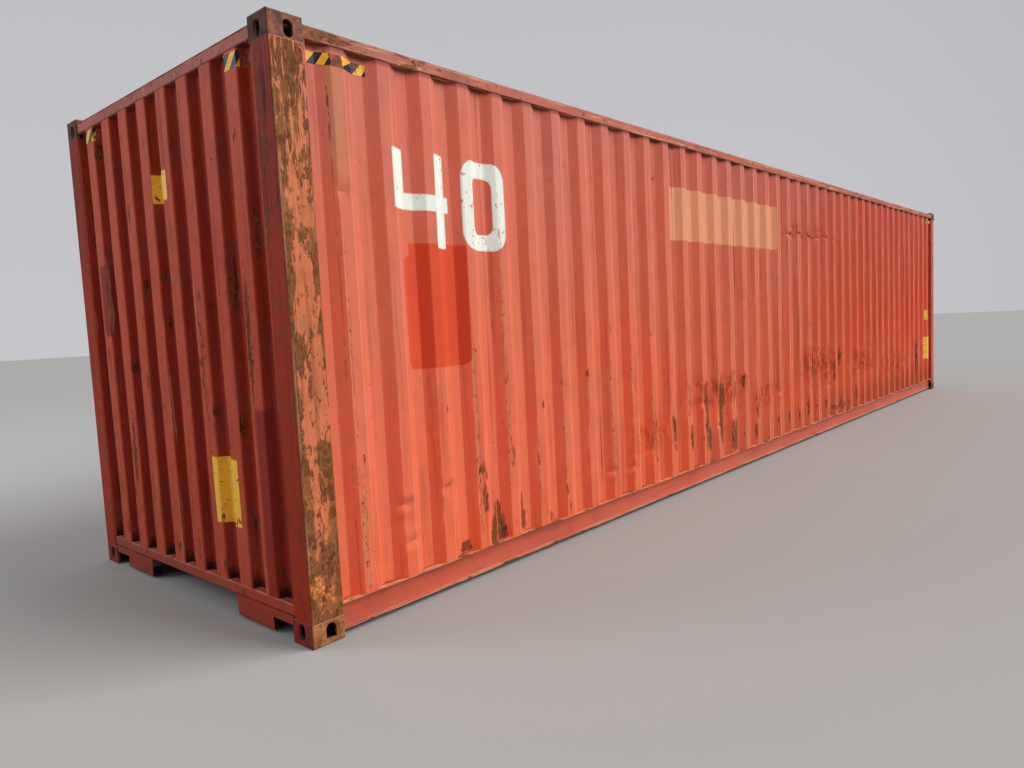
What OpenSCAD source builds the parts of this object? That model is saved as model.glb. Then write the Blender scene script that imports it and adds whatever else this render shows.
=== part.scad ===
// Forty foot high cube dry freight container, built as the real steel frame and skins.
// Millimetres. Origin at the middle of the base; +X is the door end, -X the blind end.

/* [Overall] */
// Length over the corner castings
length_all = 12192; // [9000:1:13716]
// Width over the corner castings
width_all = 2438; // [2300:1:2600]
// Height over the corner castings
height_all = 2896; // [2591:1:3000]
// Clearance where one piece is slid up to another
gap = 0.3; // [0.1:0.1:0.8]

/* [Corner castings] */
// Casting length along the container
cast_len = 178; // [170:1:190]
// Casting width across the container
cast_wid = 162; // [155:1:170]
// Casting height
cast_high = 118; // [112:1:124]
// Rounding of the outer edges of a casting
cast_round = 12; // [6:1:14]
// Thickness of the plate with the locking slot
cast_plate = 28.5; // [26:0.5:32]
// Thickness of the outer side and end walls
cast_wall = 20; // [14:1:24]
// Thickness of the walls that face into the container
cast_back = 10; // [8:1:12]
// Locking slot length
slot_long = 124.5; // [122:0.5:127]
// Locking slot width
slot_wide = 63.5; // [60:0.5:65]
// Slot centre from the end face
slot_end = 103.5; // [102:0.5:104]
// Slot centre from the side face
slot_side = 89.5; // [84:0.5:94]
// Width of the holes in the side and end faces
hole_wide = 51; // [45:1:58]
// Height of the holes in the side and end faces
hole_high = 79.5; // [70:0.5:82]
// Width of the arched side hole of the bottom castings
arch_wide = 58; // [54:1:66]
// Height of the arched side hole of the bottom castings
arch_high = 74; // [70:1:78]

/* [Corner posts] */
// Front post width on the end face
post_end = 149; // [140:1:160]
// Front post width on the side face
post_side = 182; // [170:1:200]
// Post pressing thickness
post_t = 6; // [4.5:0.5:8]
// Front post return towards the end wall
post_lip_end = 51; // [40:1:60]
// Rear post width on the side face
rear_side = 196; // [185:1:205]
// Rear post width on the door face
rear_face = 79; // [70:1:90]
// Rear face set in from the castings
rear_set = 28; // [27:1:32]
// Rear post side set in from the castings
rear_in = 3; // [2:1:5]
// Inner channel web of the rear post
chan_web = 113; // [100:1:125]
// Inner channel flange of the rear post
chan_flange = 40; // [34:1:44]
// Inner channel thickness
chan_t = 12; // [8:1:14]

/* [Bends] */
// Inner radius of the bends in posts, rails and sills
bend_r = 5; // [3:0.5:8]
// Inner radius of the bends in the wall and door sheets
sheet_r = 4; // [2:0.5:8]

/* [Rails] */
// Size of the square top rails
rail_size = 60; // [50:1:70]
// Wall thickness of the square top rails
rail_t = 3; // [2.5:0.5:5]
// Drop of the top rails below the castings
rail_drop = 33; // [31:1:40]
// Top rails set in from the castings
rail_in = 4; // [2:1:5]
// Top of the bottom side rail
sill_top = 180; // [172:1:190]
// Underside of the bottom side rail
sill_low = 30; // [15:1:38]
// Top flange of the bottom side rail
sill_flange = 48; // [44:1:55]
// Bottom flange of the bottom side rail
sill_foot = 30; // [24:1:38]
// Thickness of the bottom side rail
sill_t = 4.5; // [3.5:0.5:6]
// Bottom rails set in from the castings
sill_in = 5; // [3:1:5]

/* [Front end] */
// Underside of the front bottom rail
nose_low = 127; // [124:1:130]
// Top of the front bottom rail
nose_top = 187; // [176:1:195]
// Depth of the front bottom rail
nose_deep = 60; // [54:1:70]
// Thickness of the front bottom rail
nose_t = 4; // [3:0.5:5]
// Underside of the filler beside each casting
nose_wing = 84; // [70:1:95]
// Outer edge of each bolster from the middle
bolster_out = 874; // [840:1:900]
// Slant of each bolster towards its foot
bolster_slant = 16; // [8:1:60]
// Underside of the bolsters
bolster_low = 16; // [14:1:20]
// Web of each bolster in from its outer edge
bolster_web = 130; // [40:1:200]

/* [Walls] */
// Ridge spacing of the side walls
side_pitch = 278; // [268:1:290]
// Outer flat of a side wall ridge
side_flat = 72; // [64:1:80]
// Length of each sloping face of a side wall ridge
side_slope = 68; // [60:1:74]
// Depth of the side wall ridges
side_deep = 36; // [30:1:37]
// Side wall sheet thickness
side_t = 2; // [1.6:0.2:3]
// First ridge from the front post
side_first = 177; // [120:1:200]
// Ridge spacing of the front wall
front_pitch = 249.5; // [240:0.5:260]
// Outer flat of a front wall ridge
front_flat = 110; // [100:1:120]
// Sloping face of a front wall ridge
front_slope = 18; // [12:1:26]
// Depth of the front wall ridges
front_deep = 45.6; // [38:0.1:48]
// Front wall sheet thickness
front_t = 2; // [1.6:0.2:3]
// Front wall set in from the castings
front_in = 5; // [3:1:8]

/* [Roof] */
// Ridge spacing of the roof
roof_pitch = 209; // [195:1:225]
// Top flat of a roof ridge
roof_flat = 91; // [80:1:100]
// Sloping face of a roof ridge
roof_slope = 14; // [10:1:20]
// Height of the roof ridges
roof_rise = 20; // [14:1:24]
// Roof sheet thickness
roof_t = 2; // [1.6:0.2:3]
// Flat border of the roof at the long edges
roof_edge = 78; // [66:1:100]
// Flat border of the roof at each end
roof_end = 215; // [200:1:260]
// Thickness of the plates that guard the roof by the castings
guard_t = 3; // [2:0.5:4]
// Length of the guard plates
guard_len = 180; // [120:1:190]
// Width of the guard plates
guard_wid = 300; // [200:1:400]

/* [Floor] */
// Underside of the floor boards, which is the top of the cross members
floor_low = 142; // [138:1:146]
// Thickness of the floor boards
floor_t = 28; // [22:1:30]
// Height of the cross members
cross_high = 122; // [110:1:126]
// Top flange of a cross member
cross_top = 45; // [38:1:50]
// Bottom flange of a cross member
cross_foot = 40; // [30:1:45]
// Thickness of a cross member
cross_t = 4; // [3:0.5:5]
// Spacing of the cross members
cross_pitch = 295; // [260:1:320]
// First cross member from the tail of the tunnel
cross_first = 150; // [80:1:250]
// Last cross member from the door sill
cross_last = 30; // [20:1:80]
// Length of one floor board
board_len = 2400; // [1800:10:2440]
// Width of the flat bar down the middle of the floor
keel_wide = 75; // [60:1:90]

/* [Gooseneck tunnel] */
// Clear width of the tunnel
tunnel_wide = 1029; // [1020:1:1040]
// Clear height of the tunnel
tunnel_high = 122; // [119:1:124]
// Length of the tunnel from the front face
tunnel_len = 3315; // [3150:1:3500]
// Thickness of the tunnel plate
tunnel_t = 4; // [3:0.5:5]
// Underside of the tunnel sides
tunnel_low = 20; // [16:1:30]
// Width of each bow over the tunnel
bow_wide = 110; // [90:1:130]
// Width of each foot of a bow
bow_foot = 28; // [20:1:34]
// Thickness of a bow
bow_t = 3; // [2:0.5:4]
// Depth of the bolster behind the tunnel
tail_deep = 110; // [80:1:140]

/* [Doors] */
// Depth of the door frame
leaf_deep = 50; // [44:1:54]
// Outer face of the doors from the casting face
leaf_set = 54; // [50:1:60]
// Width of the upright frame tubes
leaf_tube = 100; // [80:1:110]
// Height of the top and bottom frame channels
leaf_chan = 150; // [130:1:170]
// Thickness of the frame pieces
leaf_t = 3; // [2:0.5:4]
// Space round each door for its rubber seal
leaf_space = 9; // [7:1:12]
// Depth of the door panel grooves
panel_deep = 36; // [28:1:38]
// Outer face between two door panel grooves
panel_face_high = 160; // [90:1:200]
// Sloping face of a door panel groove
panel_slope = 45; // [30:1:60]
// Number of grooves in each door panel
panel_grooves = 5; // [3:1:7]
// Door panel sheet thickness
panel_t = 2; // [1.6:0.2:3]
// Door panel set in from the face of its frame
panel_in = 6; // [2:1:10]
// Sill and header stand out past the doors by
frame_proud = 4; // [2:1:8]
// Sill and header reach in past the doors by
frame_back = 46; // [30:1:60]
// Foot of the door opening below the top of the bottom rails
door_foot = 16; // [10:1:30]
// Head of the door opening below the top rails
header_drop = 37; // [20:1:60]
// Bottom flange of the door sill
sill_tail = 75; // [50:1:100]
// Foot of the locking rods below the door opening
rod_down = 75; // [60:1:90]
// Head of the locking rods above the door opening
rod_up = 55; // [45:1:70]
// Radius of a locking rod
rod_r = 17; // [14:1:18]
// Rod centre from the casting face
rod_set = 30; // [26:1:33]
// Reach of a cam from the middle of its rod
cam_long = 40; // [34:1:44]
// Height of a cam
cam_high = 34; // [26:1:40]
// Inner rod from the edge of its door
rod_inner = 170; // [150:1:250]
// Outer rod from the edge of its door
rod_outer = 690; // [600:1:760]
// Height of the handles
handle_z = 1260; // [1200:1:1500]
// Length of a handle
handle_len = 430; // [350:1:460]
// Drop of the outer handle below the inner one
handle_drop = 130; // [110:1:200]
// Outer rod brackets from the top and bottom of the door
bracket_end = 110; // [80:1:300]
// Inner rod brackets from the nearest handle
bracket_near = 170; // [80:1:400]
// Height of a rod bracket
bracket_high = 44; // [30:1:60]
// Hinges on each door
hinge_count = 5; // [3:1:6]
// Height of a hinge blade
hinge_high = 70; // [50:1:90]
// Radius of a hinge pin
hinge_r = 7; // [5:0.5:8]
// Middle of the end hinges from the top and bottom of the door
hinge_end = 150; // [120:1:300]
// Reach of a hinge blade from its pin
hinge_reach = 170; // [130:1:200]
// Hinge pin from the inner edge of the post
hinge_in = 30; // [24:1:40]

/* [Hidden] */
$fn = 48;

half_l = length_all / 2;
half_w = width_all / 2;
post_high = height_all - 2 * cast_high;
rail_top = height_all - rail_drop;
rail_bottom = rail_top - rail_size;
span_l = length_all - 2 * cast_len;
wall_in = sill_in;
skin_deep = side_deep + side_t;
floor_top = floor_low + floor_t;
cross_low = floor_low - cross_high;
web_in = sill_in + sill_flange;
inner_w = half_w - web_in;
tail_x = -half_l + tunnel_len;
sill_face = leaf_set - frame_proud;
sill_back = leaf_set + leaf_deep + frame_back;
door_low = sill_top - door_foot;
door_high = rail_bottom - header_drop;
leaf_w = half_w - rear_in - rear_face - leaf_space - leaf_space / 2;
leaf_low = door_low + leaf_space;
leaf_high = door_high - leaf_space;
leaf_h = leaf_high - leaf_low;
leaf_y = leaf_space / 2;
panel_face = leaf_set + panel_in;

// A bent sheet: p is the line of one face, the thickness t lies to its left, and r is the
// inner radius of each bend.
function unit(v) = v / norm(v);
function left(v) = [-v[1], v[0]];
function ahead(p, i) = unit(p[i + 1] - p[i]);
function turn(p, i) = let (u = ahead(p, i - 1), v = ahead(p, i)) u[0] * v[1] - u[1] * v[0];
function half_turn(p, i) = acos(ahead(p, i - 1) * ahead(p, i)) / 2;
function other_face(p, i, t) =
  i == 0 ? p[0] + left(ahead(p, 0)) * t :
  i == len(p) - 1 ? p[i] + left(ahead(p, i - 1)) * t :
  p[i] + unit(left(ahead(p, i - 1)) + left(ahead(p, i))) * t / cos(half_turn(p, i));

module bent(p, t, r) {
  // the corner of a bend out to a distance from its centre, less the round of radius k
  module corner(i, out, k) {
    side = turn(p, i) > 0 ? -1 : 1;
    u = left(ahead(p, side < 0 ? i - 1 : i)) * side;
    v = left(ahead(p, side < 0 ? i : i - 1)) * side;
    m = unit(u + v) / cos(half_turn(p, i));
    c = p[i] - m * (side < 0 ? r + t : r);
    difference() {
      polygon([c, c + u * out, c + m * out, c + v * out]);
      translate(c) circle(k);
    }
  }
  difference() {
    union() {
      polygon(concat(p, [for (i = [len(p) - 1:-1:0]) other_face(p, i, t)]));
      for (i = [1:len(p) - 2]) corner(i, r + t / 2, r);
    }
    for (i = [1:len(p) - 2]) corner(i, r + t + 1, r + t);
  }
}

// A square tube seen along its length, from its lower left corner.
module tube(size, t, r) {
  module block(a, k)
    translate([a, a]) {
      e = size - 2 * a;
      translate([k, 0]) square([e - 2 * k, e]);
      translate([0, k]) square([e, e - 2 * k]);
      for (x = [k, e - k]) for (y = [k, e - k]) translate([x, y]) circle(k);
    }
  difference() {
    block(0, r + t);
    block(t, r);
  }
}

// What is cut off an edge of the given length to round it, with the corner at the origin.
module edge_cut(long) {
  r = cast_round;
  difference() {
    translate([-1, -1, -1]) cube([r + 1, r + 1, long + 2]);
    translate([r, r, -2]) cylinder(h = long + 4, r = r);
  }
}

// Stands a plan at a corner: x runs in from the end face and y in from the side face.
module at_corner(end, side) {
  translate([end * half_l, side * half_w, 0])
    mirror([end > 0 ? 1 : 0, 0, 0])
      mirror([0, side > 0 ? 1 : 0, 0]) children();
}

// Runs a profile of y and z along the container between two x values.
module along_x(x0, x1) {
  translate([x0, 0, 0]) rotate([90, 0, 90]) linear_extrude(x1 - x0) children();
}

// Runs a profile of x and z across the container between two y values.
module along_y(y0, y1) {
  translate([0, y1, 0]) rotate([90, 0, 0]) linear_extrude(y1 - y0) children();
}

// An upright slot through a wall, with round ends.
module slot_z(long, wide, deep) {
  r = wide / 2;
  translate([-(long / 2 - r), -r, 0]) cube([long - wide, wide, deep]);
  for (s = [-1, 1]) translate([s * (long / 2 - r), 0, 0]) cylinder(h = deep, r = r);
}

// Corner casting with the slot plate down, in corner places.
module casting(arched) {
  hole_z = cast_plate + (cast_high - cast_back - cast_plate) / 2;
  difference() {
    cube([cast_len, cast_wid, cast_high]);
    translate([cast_wall, cast_wall, cast_plate])
      cube([cast_len - cast_wall - cast_back, cast_wid - cast_wall - cast_back,
        cast_high - cast_plate - cast_back]);
    translate([slot_end, slot_side, -1]) slot_z(slot_long, slot_wide, cast_plate + 2);
    edge_cut(cast_high);
    rotate([90, 0, 90]) edge_cut(cast_len);
    translate([0, cast_wid, 0]) rotate([90, -90, 0]) mirror([1, 0, 0]) edge_cut(cast_wid);
    // end hole
    translate([-1, slot_side, hole_z]) rotate([0, 90, 0])
      slot_z(hole_high, hole_wide, cast_wall + 2);
    // side hole, an arch with a flat foot on the bottom castings
    if (arched) {
      translate([slot_end - arch_wide / 2, -1, cast_plate])
        cube([arch_wide, cast_wall + 2, arch_high - arch_wide / 2]);
      translate([slot_end, cast_wall + 1, cast_plate + arch_high - arch_wide / 2])
        rotate([90, 0, 0]) cylinder(h = cast_wall + 2, r = arch_wide / 2);
    } else
      translate([slot_end, cast_wall + 1, hole_z]) rotate([90, 90, 0])
        slot_z(hole_high, hole_wide, cast_wall + 2);
  }
}

module front_bottom_castings() color([0.55, 0.2, 0.14])
  for (s = [-1, 1]) at_corner(-1, s) casting(true);

module rear_bottom_castings() color([0.55, 0.2, 0.14])
  for (s = [-1, 1]) at_corner(1, s) casting(true);

module front_top_castings() color([0.62, 0.24, 0.16])
  for (s = [-1, 1]) at_corner(-1, s)
    translate([0, 0, height_all]) mirror([0, 0, 1]) casting(false);

module rear_top_castings() color([0.62, 0.24, 0.16])
  for (s = [-1, 1]) at_corner(1, s)
    translate([0, 0, height_all]) mirror([0, 0, 1]) casting(false);

// Front posts: one open pressing with a return towards each wall.
module front_posts() color([0.7, 0.26, 0.2])
  for (s = [-1, 1]) at_corner(-1, s)
    translate([0, 0, cast_high]) linear_extrude(post_high)
      bent([[post_lip_end, post_end], [0, post_end], [0, 0],
        [post_side, 0], [post_side, wall_in + skin_deep]], post_t, bend_r);

// Rear posts: the outer pressing, with its door face free at the inner edge.
module rear_posts() color([0.7, 0.26, 0.2])
  for (s = [-1, 1]) at_corner(1, s)
    translate([0, 0, cast_high]) linear_extrude(post_high)
      bent([[rear_set, rear_in + rear_face], [rear_set, rear_in],
        [rear_side, rear_in], [rear_side, wall_in + skin_deep]], post_t, bend_r);

module rear_post_channels() color([0.6, 0.22, 0.17])
  for (s = [-1, 1]) at_corner(1, s)
    translate([rear_set + post_t, rear_in + rear_face, cast_high]) linear_extrude(post_high)
      bent([[chan_web, -chan_flange], [chan_web, 0], [0, 0], [0, -chan_flange]], chan_t, bend_r);

module top_side_rails() color([0.8, 0.32, 0.26])
  for (s = [-1, 1]) mirror([0, s > 0 ? 1 : 0, 0])
    translate([0, -half_w + rail_in, rail_bottom]) along_x(-half_l + cast_len, half_l - cast_len)
      tube(rail_size, rail_t, bend_r);

// Bottom side rails: channels that open outwards, the wall stands on the top flange.
module bottom_side_rails() color([0.78, 0.3, 0.24])
  for (s = [-1, 1]) mirror([0, s > 0 ? 1 : 0, 0])
    translate([0, -half_w, 0]) along_x(-half_l + cast_len, half_l - cast_len)
      bent([[web_in - sill_foot, sill_low], [web_in, sill_low], [web_in, sill_top],
        [sill_in, sill_top]], sill_t, bend_r);

module front_top_rail() color([0.66, 0.25, 0.19])
  translate([-half_l + front_in, 0, rail_bottom]) along_y(-half_w + cast_wid, half_w - cast_wid)
    tube(rail_size, rail_t, bend_r);

// Front bottom rail: a tube over the tunnel with a filler down beside each casting.
module front_bottom_rail() color([0.6, 0.22, 0.17]) {
  x0 = -half_l + front_in;
  y1 = half_w - post_end - gap;
  translate([x0, 0, 0]) along_y(-y1, y1)
    bent([[nose_deep, nose_top], [0, nose_top], [0, nose_low], [nose_deep, nose_low]],
      nose_t, bend_r);
  translate([x0 + nose_deep - nose_t, -y1, nose_low + nose_t / 2])
    cube([nose_t, 2 * y1, nose_top - nose_low - nose_t]);
  for (s = [-1, 1]) mirror([0, s > 0 ? 1 : 0, 0])
    translate([x0, -half_w + cast_wid, nose_wing])
      cube([nose_deep, half_w - cast_wid - bolster_out, nose_low - nose_wing]);
}

// Bolsters: a plate each side of the tunnel mouth, with a foot turned back and a web behind.
module front_bolsters() color([0.62, 0.23, 0.17]) {
  x0 = -half_l + front_in;
  y0 = tunnel_wide / 2;
  for (s = [-1, 1]) mirror([0, s > 0 ? 1 : 0, 0]) {
    translate([x0, 0, 0]) rotate([90, 0, 90]) linear_extrude(post_t)
      polygon([[-y0, nose_low], [-bolster_out + gap, nose_low], [-bolster_out + gap, bolster_low],
        [-y0 - bolster_slant, bolster_low]]);
    translate([x0 + post_t, -bolster_out + gap, bolster_low])
      cube([nose_deep - post_t, bolster_out - gap - y0 - bolster_slant, post_t]);
    translate([x0 + post_t, -bolster_out + bolster_web, bolster_low + post_t])
      cube([nose_deep - post_t, post_t, nose_low - bolster_low - post_t]);
  }
}

// Door header: a deep channel that opens into the container, closed by a flat back.
module door_header() color([0.78, 0.3, 0.24]) {
  y1 = half_w - cast_wid;
  translate([half_l, 0, 0]) along_y(-y1, y1)
    bent([[-sill_back, door_high], [-sill_face, door_high], [-sill_face, rail_top],
      [-sill_back, rail_top]], nose_t, bend_r);
  translate([half_l - sill_back, -y1, door_high + nose_t / 2])
    cube([nose_t, 2 * y1, rail_top - door_high - nose_t]);
}

module door_sill() color([0.78, 0.3, 0.24])
  translate([half_l, 0, 0]) along_y(-half_w + cast_wid, half_w - cast_wid)
    bent([[-sill_face - sill_tail, cross_low], [-sill_face, cross_low], [-sill_face, door_low],
      [-sill_back, door_low]], post_t, bend_r);

// Front wall: upright grooves between wide outer faces.
module front_wall() color([0.7, 0.26, 0.2]) {
  y1 = half_w - post_end - gap;
  mouth = (front_pitch - front_flat) / 2;
  n = floor((y1 - mouth - 1) / front_pitch);
  line = concat([[0, y1]], [for (i = [n:-1:-n]) for (k = [[0, mouth],
    [front_deep, mouth - front_slope], [front_deep, front_slope - mouth], [0, -mouth]])
      [k[0], i * front_pitch + k[1]]], [[0, -y1]]);
  translate([-half_l + front_in, 0, nose_top]) linear_extrude(rail_bottom - nose_top)
    bent(line, front_t, sheet_r);
}

// One ridge of a side wall in plan, which laps a little over the next one in the hollow.
module side_ridge() {
  a = side_flat / 2;
  b = a + side_slope;
  end = side_pitch / 2 + 1;
  bent([[-end, side_deep], [-b, side_deep], [-a, 0], [a, 0], [b, side_deep], [end, side_deep]],
    side_t, sheet_r);
}

// Side wall skin, outer surface towards -Y.
module side_skin() {
  x0 = -half_l + post_side + gap;
  x1 = half_l - rear_side - gap;
  first = x0 + side_first;
  n = floor((x1 - first - side_flat / 2 - side_slope - 2) / side_pitch);
  start = first - side_pitch / 2;
  end = first + (n + 0.5) * side_pitch;
  translate([0, -half_w + wall_in, sill_top]) linear_extrude(rail_bottom - sill_top) {
    intersection() {
      for (i = [0:n]) translate([first + i * side_pitch, 0]) side_ridge();
      translate([x0, -1]) square([x1 - x0, skin_deep + 2]);
    }
    if (start > x0) translate([x0, side_deep]) square([start - x0, side_t]);
    if (x1 > end) translate([end, side_deep]) square([x1 - end, side_t]);
  }
}

module near_side_wall() color([0.88, 0.4, 0.32]) side_skin();

module far_side_wall() color([0.88, 0.4, 0.32]) mirror([0, 1, 0]) side_skin();

// A block whose four sides lean in by the same amount.
module pan(x, y, lean, h) {
  polyhedron(
    [[-x, -y, 0], [x, -y, 0], [x, y, 0], [-x, y, 0], [-x + lean, -y + lean, h],
      [x - lean, -y + lean, h], [x - lean, y - lean, h], [-x + lean, y - lean, h]],
    [[0, 1, 2, 3], [4, 7, 6, 5], [0, 4, 5, 1], [1, 5, 6, 2], [2, 6, 7, 3], [3, 7, 4, 0]]);
}

// Roof: a flat sheet with raised pressings across it, each closed at both ends.
module roof_sheet() color([0.84, 0.36, 0.28]) {
  n = floor((span_l - 2 * roof_end - roof_flat - 2 * roof_slope) / roof_pitch);
  y1 = half_w - rail_in - 4;
  px = roof_flat / 2 + roof_slope;
  py = y1 - roof_edge;
  difference() {
    union() {
      translate([-half_l + cast_len, -y1, rail_top]) cube([span_l, 2 * y1, roof_t]);
      for (i = [0:n]) translate([(i - n / 2) * roof_pitch, 0, rail_top + roof_t])
        pan(px, py, roof_slope, roof_rise);
    }
    for (i = [0:n]) translate([(i - n / 2) * roof_pitch, 0, rail_top])
      pan(px - roof_t / 2, py - roof_t / 2, roof_slope, roof_rise);
    for (i = [0:n]) translate([(i - n / 2) * roof_pitch, 0, rail_top - 1])
      translate([-px + roof_t / 2, -py + roof_t / 2, 0]) cube([2 * px - roof_t, 2 * py - roof_t, 1.01]);
  }
}

// Plates that close the frame between the top castings.
module roof_end_plates() color([0.8, 0.33, 0.26]) {
  y1 = half_w - cast_wid - gap;
  translate([-half_l + front_in, -y1, rail_top])
    cube([cast_len - front_in - gap, 2 * y1, guard_t]);
  translate([half_l - cast_len + gap, -y1, rail_top])
    cube([cast_len - sill_face - gap, 2 * y1, guard_t]);
}

module roof_guard_plates() color([0.76, 0.3, 0.22])
  for (e = [-1, 1]) for (s = [-1, 1]) at_corner(e, s)
    translate([cast_len + gap, rail_in + 6, rail_top + roof_t])
      cube([guard_len, guard_wid, guard_t]);

// Floor boards in two rows, each side of the middle bar.
module floor_boards() color([0.5, 0.36, 0.24]) {
  x0 = -half_l + front_in + nose_deep + gap;
  x1 = half_l - sill_back - gap;
  n = ceil((x1 - x0) / board_len);
  step = (x1 - x0) / n;
  for (s = [-1, 1]) mirror([0, s > 0 ? 1 : 0, 0]) for (i = [0:n - 1])
    translate([x0 + i * step, -inner_w + gap, floor_low])
      cube([step - gap, inner_w - keel_wide / 2 - 2 * gap, floor_t]);
}

module floor_keel() color([0.4, 0.4, 0.42])
  along_x(-half_l + front_in + nose_deep + gap, half_l - sill_back - gap)
    bent([[keel_wide / 2, floor_low], [keel_wide / 2, floor_top],
      [-keel_wide / 2, floor_top], [-keel_wide / 2, floor_low]], cross_t, 2);

// One cross member as a channel standing at x.
module cross(x, y0, y1) {
  translate([x, 0, 0]) along_y(y0, y1)
    bent([[cross_top, floor_low], [0, floor_low], [0, cross_low], [cross_foot, cross_low]],
      cross_t, bend_r);
}

module cross_members() color([0.3, 0.13, 0.1]) {
  x0 = tail_x + tail_deep + cross_first;
  x1 = half_l - sill_back - cross_top - cross_last;
  n = floor((x1 - x0) / cross_pitch);
  step = (x1 - x0) / n;
  for (i = [0:n]) cross(x0 + i * step, -inner_w, inner_w);
}

// Short cross members from the tunnel to each bottom side rail.
module tunnel_outriggers() color([0.3, 0.13, 0.1]) {
  x0 = -half_l + cast_len + 20;
  x1 = tail_x - cross_top - 60;
  n = floor((x1 - x0) / cross_pitch);
  step = (x1 - x0) / n;
  y1 = tunnel_wide / 2 + tunnel_t;
  for (i = [0:n]) {
    cross(x0 + i * step, -inner_w, -y1);
    cross(x0 + i * step, y1, inner_w);
  }
}

module tunnel_plate() color([0.32, 0.14, 0.1])
  along_x(-half_l + front_in + nose_deep + gap, tail_x)
    bent([[-tunnel_wide / 2, tunnel_low], [-tunnel_wide / 2, tunnel_high],
      [tunnel_wide / 2, tunnel_high], [tunnel_wide / 2, tunnel_low]], tunnel_t, bend_r);

// Shallow hats between the tunnel plate and the floor.
module tunnel_bows() color([0.3, 0.13, 0.1]) {
  x0 = -half_l + front_in + nose_deep + 40;
  x1 = tail_x - bow_wide - 20;
  n = floor((x1 - x0) / cross_pitch);
  step = (x1 - x0) / n;
  rise = floor_low - tunnel_high - tunnel_t - bow_t;
  m = bow_wide / 2;
  f = m - bow_foot;
  for (i = [0:n]) translate([x0 + m + i * step, 0, tunnel_high + tunnel_t])
    along_y(-tunnel_wide / 2, tunnel_wide / 2)
      bent([[-m, 0], [-f, 0], [-f + 6, rise], [f - 6, rise], [f, 0], [m, 0]], bow_t, 2);
}

// Closed tail behind the tunnel, from one bottom side rail to the other.
module tunnel_tail() color([0.32, 0.14, 0.1])
  difference() {
    translate([tail_x + gap, -inner_w, cross_low])
      cube([tail_deep, 2 * inner_w, floor_low - cross_low]);
    translate([tail_x + gap + tunnel_t, -inner_w - 1, cross_low - 1])
      cube([tail_deep - 2 * tunnel_t, 2 * inner_w + 2, floor_low - cross_low - tunnel_t + 1]);
  }

// Places door pieces: x out from the door plane to the rear, y from the middle to the side.
module at_door(side) {
  translate([half_l, 0, 0]) mirror([0, side < 0 ? 1 : 0, 0]) children();
}

// Door frame: two upright tubes with a channel at the top and the bottom.
module door_frame() {
  x0 = -leaf_set - leaf_deep;
  for (y = [leaf_y, leaf_y + leaf_w - leaf_tube]) translate([x0, y, leaf_low])
    difference() {
      cube([leaf_deep, leaf_tube, leaf_h]);
      translate([leaf_t, leaf_t, -1])
        cube([leaf_deep - 2 * leaf_t, leaf_tube - 2 * leaf_t, leaf_h + 2]);
    }
  y0 = leaf_y + leaf_tube;
  y1 = leaf_y + leaf_w - leaf_tube;
  for (z = [leaf_low, leaf_high - leaf_chan]) translate([x0, 0, z]) along_y(y0, y1)
    bent([[0, 0], [leaf_deep, 0], [leaf_deep, leaf_chan], [0, leaf_chan]], leaf_t, bend_r);
}

// Door panel: a sheet with level grooves, set in the frame.
module door_skin() {
  step = (leaf_h - 2 * leaf_chan) / panel_grooves;
  m = step / 2 - panel_face_high / 2;
  line = concat([[0, 0]], [for (i = [0:panel_grooves - 1]) for (k = [[0, -m],
    [-panel_deep, panel_slope - m], [-panel_deep, m - panel_slope], [0, m]])
      [k[0], (i + 0.5) * step + k[1]]], [[0, panel_grooves * step]]);
  translate([-panel_face, 0, leaf_low + leaf_chan])
    along_y(leaf_y + leaf_tube, leaf_y + leaf_w - leaf_tube) bent(line, panel_t, sheet_r);
}

module near_door_frame() color([0.84, 0.36, 0.28]) at_door(-1) door_frame();
module far_door_frame() color([0.84, 0.36, 0.28]) at_door(1) door_frame();
module near_door_panel() color([0.88, 0.4, 0.32]) at_door(-1) door_skin();
module far_door_panel() color([0.88, 0.4, 0.32]) at_door(1) door_skin();

rod_ys = [leaf_y + rod_inner, leaf_y + rod_outer];
rod_low = door_low - rod_down;
rod_high = door_high + rod_up;

// Locking rod with a hooked cam at each end.
module lock_rods()
  for (y = rod_ys) translate([-rod_set, y, 0]) {
    difference() {
      translate([0, 0, rod_low]) cylinder(h = rod_high - rod_low, r = rod_r);
      translate([0, 0, rod_low + cam_high]) cylinder(h = rod_high - rod_low - 2 * cam_high, r = rod_r - 3);
    }
    for (z = [rod_low, rod_high - cam_high]) difference() {
      union() {
        translate([-6, -cam_long, z]) cube([16, cam_long, cam_high]);
        translate([2, -cam_long, z]) cylinder(h = cam_high, r = 10);
      }
      translate([0, 0, z - 1]) cylinder(h = cam_high + 2, r = rod_r - 1);
    }
  }

module near_lock_rods() color([0.72, 0.7, 0.68]) at_door(-1) lock_rods();
module far_lock_rods() color([0.72, 0.7, 0.68]) at_door(1) lock_rods();

bracket_zs = [leaf_low + bracket_end, handle_z - handle_drop - bracket_near,
  handle_z + bracket_near, leaf_high - bracket_end];

// Guides that hold each rod against its door.
module rod_brackets() color([0.6, 0.58, 0.56])
  for (s = [-1, 1]) at_door(s) for (y = rod_ys) for (z = bracket_zs)
    translate([0, y, z]) {
      r = rod_r + gap;
      h = bracket_high;
      difference() {
        union() {
          translate([-leaf_set, -r - 6, -h / 2]) cube([leaf_set - rod_set, 2 * r + 12, h]);
          translate([-rod_set, 0, -h / 2]) cylinder(h = h, r = r + 6);
          translate([-leaf_set, -r - 34, -h / 2]) cube([6, 2 * r + 68, h]);
        }
        translate([-rod_set, 0, -h]) cylinder(h = 2 * h, r = r);
        translate([-leaf_set + 6, -r, -h]) cube([leaf_set - rod_set - 6, 2 * r, 2 * h]);
      }
    }

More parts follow.
